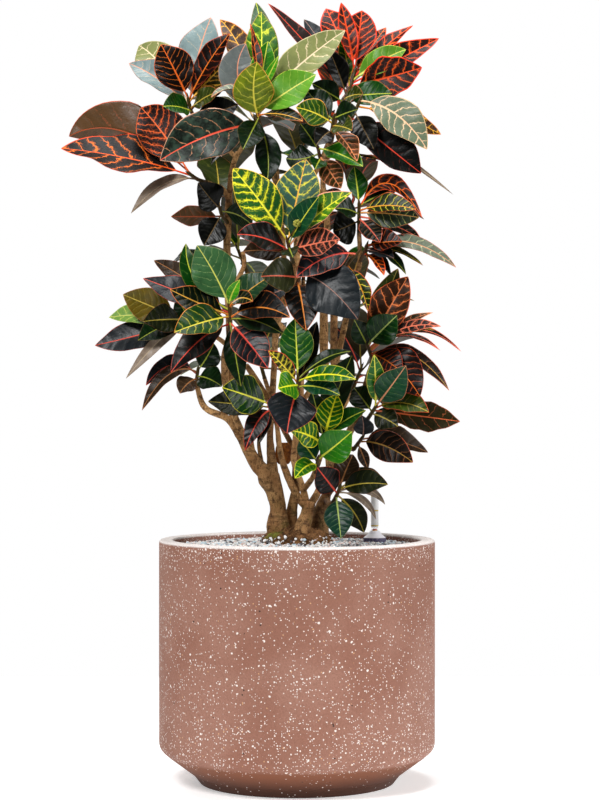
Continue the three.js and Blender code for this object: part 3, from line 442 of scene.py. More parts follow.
def stoneMaterial():
    wire, finish = newMaterial("speckledStone")
    place = wire.place()
    height = place.part("Z") / mm
    cloud = wire.noise(place, planter["cloudScale"], 4.0)
    fine = wire.noise(place, planter["grainScale"], 3.0, 0.7)
    color = cloud.over(0.35, 0.65).blend(planter["stone"], planter["stoneLight"])
    color = (fine.over(0.35, 0.75) * planter["darkShare"]).blend(color, planter["stoneDark"])
    # painted shade on the foot: darker and redder below the body's lower edge, deepening towards the floor
    color = (height.over(*planter["footFrom"]) * planter["footShare"]).blend(color, planter["foot"])
    paintedFootShade = height.over(*planter["footPaintedShadeFrom"]) * planter["footPaintedShadeShare"]
    color = paintedFootShade.blend(color, planter["footPaintedShade"])
    # chips stand denser under the rim and towards the foot
    upper = height.over(*planter["upperBand"]) * planter["upperShare"]
    lower = height.over(*planter["lowerBand"]) * planter["lowerShare"]
    dense = upper + lower + wire.noise(place, planter["patchScale"]).over(0.4, 0.7) * planter["patchShare"]
    aboveFoot = height.over(*planter["chipsEnd"], planter["footChips"], 1.0)
    relief = None
    for scale, share, size, tone in planter["chips"]:
        limit = (dense * share * 1.7 + share * 0.5) * aboveFoot
        ragged = wire.cells(place, scale) + (wire.noise(place, scale * 2.5) - 0.5) * planter["ragged"]
        mask = (limit - wire.chances(place, scale)).over(0.0, 0.01) * ragged.over(size, size * 0.72)
        color = mask.blend(color, planter[tone])
        relief = mask if relief is None else relief.most(mask)
    few = (planter["pitShare"] - wire.chances(place, planter["pitCells"], 1)).over(0.0, 0.005)
    pits = few * wire.cells(place, planter["pitCells"]).over(*planter["pitSize"])
    color = pits.blend(color, planter["pit"])
    color = (height.over(*planter["rimFrom"]) * fine.over(0.3, 0.6, 0.55, 0.95)).blend(color, planter["rimPale"])
    bumps = fine * 0.6 + relief * 0.25 - pits * 1.5
    return finish({
        "Base Color": color, "Roughness": planter["roughness"] - relief * planter["chipGloss"],
        "Specular IOR Level": planter["specular"], "Normal": wire.bump(bumps, *planter["bump"]),
    })


outline = rounded(planter["profile"], planter["rounds"], 5)
outline = withMoreRows(outline, np.full(len(outline), planter["rowGap"]))
makePiece("planterBody", turnedShell(outline, planter["sides"]), stoneMaterial(), "planter", ["planter"])
print("planter made")


# Gravel: granulate that fills the pot, with small loose stones on top
gaugeX, gaugeY = 123.0, 50.0  # where the water gauge stands in it
gravel = {
    "radius": 191.8, "floor": 34.4, "floorRadius": 137, "corner": 96, "edge": 367.5, "middle": 372.5,
    "bedBelow": 2.6, "bedSides": 72, "bedRings": 12, "stones": 6800, "small": 3.6, "large": 7.4, "seed": 11,
    "reachGap": 3.2, "wallGap": 3.4, "stemRoom": 50, "gaugeRoom": 20, "knock": 1.0, "sunk": 1.5,
    "uneven": (-1.7, 1.5), "footReach": [50, 57, 61], "footLift": [12, 3, 0],
    "squeeze": (0.7, 1.15), "flatter": 0.85, "rough": 0.16, "tilt": 0.6,
    "tones": [
        paint(226, 225, 222), paint(252, 252, 252), paint(176, 177, 182), paint(200, 220, 230),
        paint(228, 200, 190), paint(92, 88, 90), paint(240, 236, 230), paint(252, 252, 251),
    ],
    # the bed's dark colour under the stones is painted shade in the gaps between them
    "bed": paint(58, 54, 53), "bedTone": 0.97, "dust": paint(120, 112, 108), "dustShare": 0.2,
    "grainScale": 900.0, "roughness": 0.78, "specular": 0.3, "bump": (0.4, 0.0006),
}


def gravelHeight(x, y):  # a slightly domed bed, which sinks from the middle with the square of the radius
    share = np.clip((x ** 2 + y ** 2) / gravel["radius"] ** 2, 0, 1)
    return gravel["middle"] + (gravel["edge"] - gravel["middle"]) * share


def gravelPiece():
    parts = Parts()
    radii = [*np.linspace(gravel["radius"], 8, gravel["bedRings"]), 0]
    bed = [[0, gravel["floor"]], [gravel["floorRadius"], gravel["floor"]], [gravel["radius"], gravel["corner"]]]
    bed += [[r, gravelHeight(r, 0) - gravel["bedBelow"]] for r in radii]
    parts.add(*turnedShell(bed, gravel["bedSides"]), tone=0.99)
    # an icosahedron, squeezed and turned for each stone
    g = (1 + math.sqrt(5)) / 2
    corners = np.array([
        [-1, g, 0], [1, g, 0], [-1, -g, 0], [1, -g, 0], [0, -1, g], [0, 1, g], [0, -1, -g], [0, 1, -g],
        [g, 0, -1], [g, 0, 1], [-g, 0, -1], [-g, 0, 1],
    ]) / math.sqrt(1 + g * g)
    faces = np.array([
        [0, 11, 5], [0, 5, 1], [0, 1, 7], [0, 7, 10], [0, 10, 11], [1, 5, 9], [5, 11, 4], [11, 10, 2],
        [10, 7, 6], [7, 1, 8], [3, 9, 4], [3, 4, 2], [3, 2, 6], [3, 6, 8], [3, 8, 9], [4, 9, 5],
        [2, 4, 11], [6, 2, 10], [8, 6, 7], [9, 8, 1],
    ])
    # stones in a sunflower's spiral, each knocked out of its place a little
    count = gravel["stones"]
    dice = np.random.default_rng(gravel["seed"])
    angle = np.arange(count) * spiralTurn
    reach = np.sqrt((np.arange(count) + 0.5) / count) * (gravel["radius"] - gravel["reachGap"])
    x = reach * np.cos(angle) + dice.normal(0, gravel["knock"], count)
    y = reach * np.sin(angle) + dice.normal(0, gravel["knock"], count)
    far = np.hypot(x, y)
    clear = np.hypot(x - gaugeX, y - gaugeY) > gravel["gaugeRoom"]
    keep = (far < gravel["radius"] - gravel["wallGap"]) & (far > gravel["stemRoom"]) & clear
    x, y = x[keep], y[keep]
    count = len(x)
    size = dice.uniform(gravel["small"], gravel["large"], count) / 2
    z = gravelHeight(x, y) - gravel["sunk"] + dice.uniform(*gravel["uneven"], count)
    z = z + np.interp(np.hypot(x, y), gravel["footReach"], gravel["footLift"])  # the innermost lie on the mound
    squeeze = dice.uniform(*gravel["squeeze"], (count, 1, 3)) * np.array([1, 1, gravel["flatter"]])
    rough = 1 + dice.uniform(-gravel["rough"], gravel["rough"], (count, len(corners), 1))
    shapes = corners[None] * squeeze * rough
    spin = dice.uniform(0, 2 * math.pi, count)
    tilt = dice.uniform(-gravel["tilt"], gravel["tilt"], count)
    cs, sn, ct, st = np.cos(spin), np.sin(spin), np.cos(tilt), np.sin(tilt)
    sx = shapes[..., 0]
    sy = shapes[..., 1] * ct[:, None] - shapes[..., 2] * st[:, None]
    sz = shapes[..., 1] * st[:, None] + shapes[..., 2] * ct[:, None]
    turnedX = sx * cs[:, None] - sy * sn[:, None]
    turnedY = sx * sn[:, None] + sy * cs[:, None]
    stones = np.stack([turnedX, turnedY, sz], -1) * size[:, None, None] + np.stack([x, y, z], -1)[:, None]
    allFaces = (faces[None] + len(corners) * np.arange(count)[:, None, None]).reshape(-1, 3)
    tone = np.repeat(dice.uniform(0, 0.95, count), len(corners))
    parts.add(stones.reshape(-1, 3), np.zeros((0, 4), int), allFaces, tone=tone)
    return parts


def gravelMaterial():
    wire, finish = newMaterial("paleGranulate")
    tone = wire.attribute("tone", 2)
    share = 1.0 / len(gravel["tones"])
    # the last stop, for the bed, is painted shade in the gaps between the stones
    stops = [(i * share, color) for i, color in enumerate(gravel["tones"])] + [(gravel["bedTone"], gravel["bed"])]
    color = wire.node("ShaderNodeValToRGB", {"stops": stops}, {0: tone})
    color.socket.node.color_ramp.interpolation = "CONSTANT"
    fine = wire.noise(wire.place(), gravel["grainScale"], 3.0, 0.7)
    color = (fine.over(0.4, 0.7) * gravel["dustShare"]).blend(color, gravel["dust"], "MULTIPLY")
    return finish({
        "Base Color": color, "Roughness": gravel["roughness"], "Specular IOR Level": gravel["specular"],
        "Normal": wire.bump(fine, *gravel["bump"]),
    })


gravelPiece().piece("gravelBed", gravelMaterial(), "gravel", ["gravel"], sharpAngle=25)
print("gravel made")


# Root ball: a body under the gravel and a crumbly mound of soil
mound = {
    "profile": [
        [0, 92], [82, 92], [102, 132], [102, 320], [59, 355], [57, 372], [50, 384], [36, 391], [18, 396], [0, 397],
    ],
    "rounds": [4, 12, 8, 5, 4, 5, 6, 5], "sides": 72, "fineAbove": 350, "fineGap": 3, "rowGap": 20,
    "crumblyFrom": 360, "crumblyRise": 20, "sunk": 1.5, "push": 2.2, "lumps": 2.2, "grain": 3.4,
    "pushCentre": 340, "pushUp": 0.6,
    "soil": paint(126, 88, 54), "soilDark": paint(58, 37, 21), "soilLight": paint(184, 136, 90),
    "moss": paint(112, 122, 44), "mossSide": (-10, -38), "mossShare": 0.75, "crumbScale": 260.0,
    "cloudScale": 60.0, "mossScale": 34.0, "roughness": 0.95, "specular": 0.15, "bump": (0.9, 0.003),
}


# The turned profile, pushed outwards above the gravel by sums of sines of the place and a random grain.
def moundPiece():
    profile = rounded(mound["profile"], mound["rounds"], 3)
    gaps = np.where(profile[:, 1] > mound["fineAbove"], mound["fineGap"], mound["rowGap"])
    points, quads, fans = turnedShell(withMoreRows(profile, gaps), mound["sides"])
    x, y, z = points.T
    lumps = np.sin(x * 0.21 + 1.3) * np.cos(y * 0.19 + 0.4) + 0.6 * np.sin(x * 0.47 - y * 0.39)
    lumps = lumps + 0.4 * np.sin(z * 0.9 + x * 0.8)
    grain = draw(np.arange(len(points)) * 1.7) - 0.5
    high = np.clip((z - mound["crumblyFrom"]) / mound["crumblyRise"], 0, 1)
    push = high * (mound["push"] + mound["lumps"] * lumps + mound["grain"] * grain)
    outward = unit(np.stack([x, y, mound["pushUp"] * (z - mound["pushCentre"])], -1) + 1e-6)
    return points + outward * push[:, None] - [0, 0, mound["sunk"]], quads, fans


def soilMaterial():
    wire, finish = newMaterial("crumblySoil")
    place = wire.place()
    crumbs = wire.cells(place, mound["crumbScale"])
    cloud = wire.noise(place, mound["cloudScale"], 5.0, 0.7)
    color = cloud.over(0.35, 0.68).blend(mound["soilDark"], mound["soil"])
    color = (crumbs.over(0.1, 0.7, 1.0, 0.0) * cloud.over(0.45, 0.7)).blend(color, mound["soilLight"])
    side = place.part("X") / mm
    mossy = wire.noise(place, mound["mossScale"], 3.0).over(0.48, 0.62) * side.over(*mound["mossSide"])
    color = (mossy * mound["mossShare"]).blend(color, mound["moss"])
    bumps = crumbs.over(0.0, 0.6, 1.0, 0.0) + cloud
    return finish({
        "Base Color": color, "Roughness": mound["roughness"], "Specular IOR Level": mound["specular"],
        "Normal": wire.bump(bumps, *mound["bump"]),
    })


makePiece("rootMound", moundPiece(), soilMaterial(), "root_ball", ["root_ball"])
print("root ball made")


# Woody stems and their bark
bark = {
    "base": paint(150, 106, 64), "light": paint(204, 158, 104), "dark": paint(58, 35, 20),
    # the shade pair gives the heights over which painted shade darkens the lower stems
    "moss": paint(104, 106, 44), "mossFrom": (470, 392), "paintedBarkShadeFrom": (640, 400),
    "surfaces": {"brownBark": 0.0, "darkBark": 0.34}, "sides": 16, "thinSides": 12, "thickFrom": 17,
    "spacing": 5.0, "burl": 0.055, "scar": 0.05, "ridge": 0.02, "flareFrom": 20, "flare": 0.24,
    "flareHeight": 17.0, "fluting": 0.045, "groove": 0.035, "branchScar": 0.05,
    # noise scales per metre, and how far each pattern and the painted shade darken the bark
    "grainScale": 240.0, "grainLength": 0.28, "cloudScale": 26.0, "speckScale": 520.0, "blotchScale": 95.0,
    "ringScale": 110.0, "ringShape": (0.25, 0.25, 1.6), "mossScale": 40.0, "grainDark": 0.75, "ringDark": 0.5,
    "speckDark": 0.7, "blotchDark": 0.72, "mossShare": 0.35, "paintedBarkShadeShare": 0.2, "roughness": 0.8,
    "specular": 0.22, "bump": (0.9, 0.0034),
}
# Each limb of a woody stem is a list of [column, row, depth, thickness], from its foot up.
woodyStems = {
    "stem_left": [
        [[280, 566, 5, 34], [279, 541, 3, 33], [278, 510, -1, 25], [274, 490, -3, 28],
         [269, 479, -4, 34.5], [264.5, 467, -6, 27]],
        [[268, 475, -4, 26], [256.5, 464, -7, 22], [247.5, 449, -10, 18], [239.5, 434, -8, 15.5],
         [227, 419, -5, 11], [205, 408, 0, 9.4], [197, 387, -1, 7.6]],
        [[246, 442, -9, 11], [233, 412, -24, 10.5], [226, 385, -52, 11.5], [225, 358, -75, 11.5],
         [229, 338, -91, 9]],
        [[227, 345, -84, 8], [214, 336, -60, 7], [201, 328, -38, 6.6]],
        [[233, 426, -6, 11], [231, 380, 6, 10.5], [229, 320, 12, 10.5], [227, 255, 14, 12],
         [228, 220, 14, 11.5], [229, 194, 13, 11]],
        [[229, 200, 14, 9], [222, 189, 2, 8], [207, 183, -17, 6.8]],
        [[229, 198, 14, 9.5], [232, 170, 6, 8.4], [238, 153, -6, 8]],
        [[236, 158, -2, 7], [216, 138, -14, 6.6], [198, 125, -20, 6.6]],
        [[237, 156, -4, 7], [246, 142, -14, 6], [254, 134, -18, 5.2]],
        [[229, 306, 12, 9], [236, 284, 4, 8], [244, 266, -4, 7], [243, 252, -8, 6.4]],
        [[270, 404, -36, 9], [262, 390, -31, 10], [252, 374, -28, 9.4], [246, 365, -28, 7.6]],
        [[274, 486, -4, 21], [272, 464, -5, 16], [270, 440, -12, 10.5], [271, 420, -25, 9.5],
         [272, 400, -36, 10], [274, 372, -50, 9.5], [276, 330, -74, 9.5], [285, 303, -92, 8.5],
         [292, 280, -106, 8], [293, 263, -112, 7.4]],
        [[276, 338, -69, 9], [281, 300, -66, 8.5], [284, 260, -62, 8.5], [277, 180, -54, 8.5],
         [274, 155, -50, 8], [269, 145, -49, 7]],
        [[263, 470, -6, 8], [259, 448, -8, 6], [259, 434, -10, 4.6]],
        [[254, 458, -10, 8], [252, 444, -13, 6], [251, 430, -16, 4.6]],
    ],
    "stem_centre": [
        [[301, 568, -22, 24], [301, 541, -24, 23.5], [303, 528, -24, 20.5], [307, 514, -22, 19],
         [309, 502, -20, 20]],
        [[308, 509, -22, 13], [299.5, 500, -24, 12], [293.5, 489, -28, 12], [287.5, 476, -32, 11.5],
         [282, 460, -36, 10], [279, 444, -41, 8.5], [277.5, 430, -48, 7.6], [276, 422, -53, 7.4]],
        [[307, 507, -23, 13], [304, 493, -26, 10.5], [299, 478, -35, 10], [294, 461, -50, 10],
         [295, 446, -66, 9.5], [297, 424, -98, 9], [299, 402, -134, 7.4]],
        [[309, 507, -19, 13], [315, 498, -17, 11.5], [320, 488, -15, 10.5], [331, 462, -12, 10.5],
         [338, 425, -10, 10], [338, 392, -14, 10], [336, 367, -18, 10], [340, 347, -25, 9.5],
         [346, 320, -36, 9], [354, 284, -47, 8.5], [359, 267, -52, 8], [360, 252, -57, 7.2],
         [359, 233, -60, 6.8]],
        [[303, 491, -28, 9], [310, 482, -60, 8.5], [315, 475, -92, 7], [316, 473.5, -99, 6.6]],
        [[311, 481, -64, 7.4], [318, 465, -90, 7], [322, 454, -113, 6.6]],
        [[329, 467, -13, 10.5], [327, 430, -4, 11.5], [325.5, 390, 0, 12.5], [324, 354, 0, 13.5],
         [324, 303, -5, 13], [327, 222, -20, 9.5], [323, 182, -38, 8.5], [329, 152, -34, 8],
         [334, 128, -24, 7], [335, 120, -20.5, 6.8]],
        [[327, 160, -35, 6.8], [331, 150, -52, 6.6], [330, 143, -70, 6.4]],
        [[331, 147, -33, 6.8], [338, 143, -42, 6.4]],
        [[337, 380, -16, 9.5], [333, 358, -38, 10], [334, 340, -55, 11.5], [334, 310, -83, 11],
         [335, 302, -90, 7.4]],
    ],
    "stem_right": [
        [[321, 564, 24, 28], [320, 541, 20, 27], [319.5, 524, 19, 25], [321.5, 509, 17, 21.5],
         [326.5, 494, 15, 13.5], [330, 477, 12, 12], [338, 460, 8, 12.5], [350, 432, 0, 12],
         [358, 416, -6, 11.5], [361, 404, -12, 11], [368, 380, -26, 10.5], [373, 362, -40, 8]],
        [[357, 420, -5, 9], [364, 421, -22, 8], [367, 420.5, -36, 6.8]],
        [[346, 442, 2, 8.5], [351, 449, -5, 7.4], [353.5, 450, -11, 6.6]],
        [[326, 500, 16, 11], [330, 505, -30, 9.5], [333, 503, -72, 6.8]],
        [[328, 494, 13, 11], [337, 484, -8, 9], [355, 466, -18, 8]],
    ],
    "stem_back": [
        [[290, 563, 36, 22], [290.5, 541, 34, 20], [292, 510, 28, 16.5], [296, 490, 26, 13],
         [296, 475, 28, 13], [298, 440, 50, 13], [300, 400, 74, 12.5], [300, 340, 96, 12],
         [297, 260, 104, 11], [296, 165, 104, 8.5]],
    ],
}


# The shoots behind: where each green stem starts, in millimetres, how long its leaves are and which way
# the first one points.
backShoots = [
    [-52, 128, 628, 150, 20], [70, 140, 706, 140, 95], [10, 178, 790, 150, 250], [-80, 116, 800, 140, 75],
    [76, 124, 880, 130, 235], [4, 172, 950, 145, 200], [-56, 104, 1004, 130, 160], [58, 96, 1030, 125, 45],
    [86, 84, 605, 130, 290],
]
backForm = {
    "leaves": 6, "leafTurn": 137.5, "branchDrop": 120, "branchThicknesses": [9, 8, 6.8], "stemLength": 46,
    "lean": 0.005, "lowest": -24, "highest": 66, "topShortening": 0.22, "lengthSpread": 0.1, "width": 52,
    "widthSpread": 3, "rise": 0.16, "azimuthPerStep": 0.7, "elevationPerStep": 0.6,
}
backKinds = [
    ("green_leaves", ["darkGreen", "teal", "green", "oliveDark", "darkGreen", "greenVein"]),
    ("green_leaves", ["olive", "darkGreen", "gilt", "green", "darkOrange", "glossGreen"]),
    ("dark_leaves", ["slateRed", "black", "olive", "blackRed", "slate", "darkGreen"]),
    ("green_leaves", ["teal", "darkGreen", "net", "green", "darkGreen", "vivid"]),
    ("red_leaves", ["emberDark", "umber", "ember", "blackRed", "emberDark", "ember"]),
    ("green_leaves", ["darkGreen", "striped", "green", "olive", "darkGreen", "teal"]),
    ("pale_leaves", ["olive", "blueGrey", "darkGreen", "sage", "mist", "greyNet"]),
    ("red_leaves", ["emberDark", "ember", "blackRed", "scarlet", "emberRed", "ember"]),
    ("dark_leaves", ["umber", "slateRed", "darkGreen", "black", "slateRed", "oliveDark"]),
]


def barkMaterial(name, depth):  # depth is how far the whole bark leans to its dark tone
    wire, finish = newMaterial(name)
    place = wire.place()
    grain = wire.noise(place.scaled((1, 1, bark["grainLength"])), bark["grainScale"], 5.0, 0.65)
    cloud = wire.noise(place, bark["cloudScale"], 3.0)
    specks = wire.noise(place, bark["speckScale"], 2.0, 0.6)
    blotch = wire.noise(place, bark["blotchScale"], 4.0, 0.7)
    rings = wire.noise(place.scaled(bark["ringShape"]), bark["ringScale"], 3.0)
    height = place.part("Z") / mm
    color = cloud.over(0.3, 0.7).blend(bark["base"], bark["light"])
    color = (grain.over(0.5, 0.3) * bark["grainDark"]).blend(color, bark["dark"])
    color = (rings.over(0.54, 0.68) * bark["ringDark"]).blend(color, bark["dark"])
    color = (specks.over(0.57, 0.66) * bark["speckDark"]).blend(color, bark["dark"])
    color = (blotch.over(0.52, 0.64) * bark["blotchDark"]).blend(color, bark["dark"])
    mossy = height.over(*bark["mossFrom"]) * wire.noise(place, bark["mossScale"]).over(0.45, 0.65)
    color = (mossy * bark["mossShare"]).blend(color, bark["moss"])
    # painted shade: the stems grow darker lower down, under the leaves, towards the soil; depth darkens the whole
    # bark besides
    color = (height.over(*bark["paintedBarkShadeFrom"]) * bark["paintedBarkShadeShare"] + depth).blend(color, bark["dark"])
    bumps = grain * 0.8 + rings * 0.5 - blotch * 0.5
    return finish({
        "Base Color": color, "Roughness": bark["roughness"], "Specular IOR Level": bark["specular"],
        "Normal": wire.bump(bumps, *bark["bump"]),
    })


# One limb: a smooth bar through its places, with burls and old leaf scars as relief. The relief is
# sin and cos of the height and the angle, so it is the same on each run.
def limbShell(places, key):
    rows = np.array([[*onSheet(c, r, d), t] for c, r, d, t in places])
    curve = smoothThrough(rows, bark["spacing"])
    path, thickness = curve[:, :3], curve[:, 3]
    sides = bark["sides"] if thickness.max() > bark["thickFrom"] else bark["thinSides"]
    length = np.concatenate([[0], np.cumsum(np.linalg.norm(np.diff(path, axis=0), axis=1))])[:, None]
    angle = around(sides)[None]
    burls = np.sin(length * 0.11 + key + 2 * np.cos(angle + key)) * np.cos(2 * angle + length * 0.035 + key)
    scars = np.maximum(np.sin(length * 0.42 + 1.5 * np.sin(angle + key)), 0) ** 6
    relief = bark["burl"] * burls + bark["scar"] * scars + bark["ridge"] * np.sin(5 * angle + length * 0.09)
    if thickness.max() > bark["flareFrom"]:  # the foot spreads where it meets the soil
        above = (path[:, 2:] - mound["profile"][-1][1]) / bark["flareHeight"]
        relief = relief + bark["flare"] * np.exp(-above ** 2)
        fluting = bark["fluting"] * np.sin(3 * angle + length * 0.05 + key)
        relief = relief + fluting + bark["groove"] * np.cos(7 * angle - length * 0.12)
    return barShell(path, thickness / 2, sides, relief)


def backStemAt(height):
    path = np.array([onSheet(c, r, d) for c, r, d, _ in woodyStems["stem_back"][0]])
    return np.array([np.interp(height, path[:, 2], path[:, i]) for i in range(3)])


def branchShell(end, index):  # a branch from the back stem to the foot of a back shoot
    root = backStemAt(end[2] - backForm["branchDrop"])
    bend = root + (end - root) * 0.6
    bend[2] = end[2] - 0.5 * backForm["branchDrop"]
    curve = smoothThrough(np.column_stack([[root, bend, end], backForm["branchThicknesses"]]), bark["spacing"])
    length = np.arange(len(curve))[:, None] * bark["spacing"]
    angle = around(bark["thinSides"])[None]
    relief = bark["branchScar"] * np.maximum(np.sin(length * 0.4 + index + np.sin(angle)), 0) ** 5
    return barShell(curve[:, :3], curve[:, 3] / 2, bark["thinSides"], relief)


barkSurfaces = {name: barkMaterial(name, depth) for name, depth in bark["surfaces"].items()}
for name, limbs in woodyStems.items():
    parts = Parts()
    for i, places in enumerate(limbs):
        parts.add(*limbShell(places, 3.1 * i + len(name)))
    if name == "stem_back":
        for i, shoot in enumerate(backShoots):
            parts.add(*branchShell(np.array(shoot[:3], float), i))
    surface = barkSurfaces["darkBark" if name == "stem_right" else "brownBark"]
    parts.piece("woodyStem" + name.replace("stem_", "").title(), surface, "bark", [name])
print("stems made")


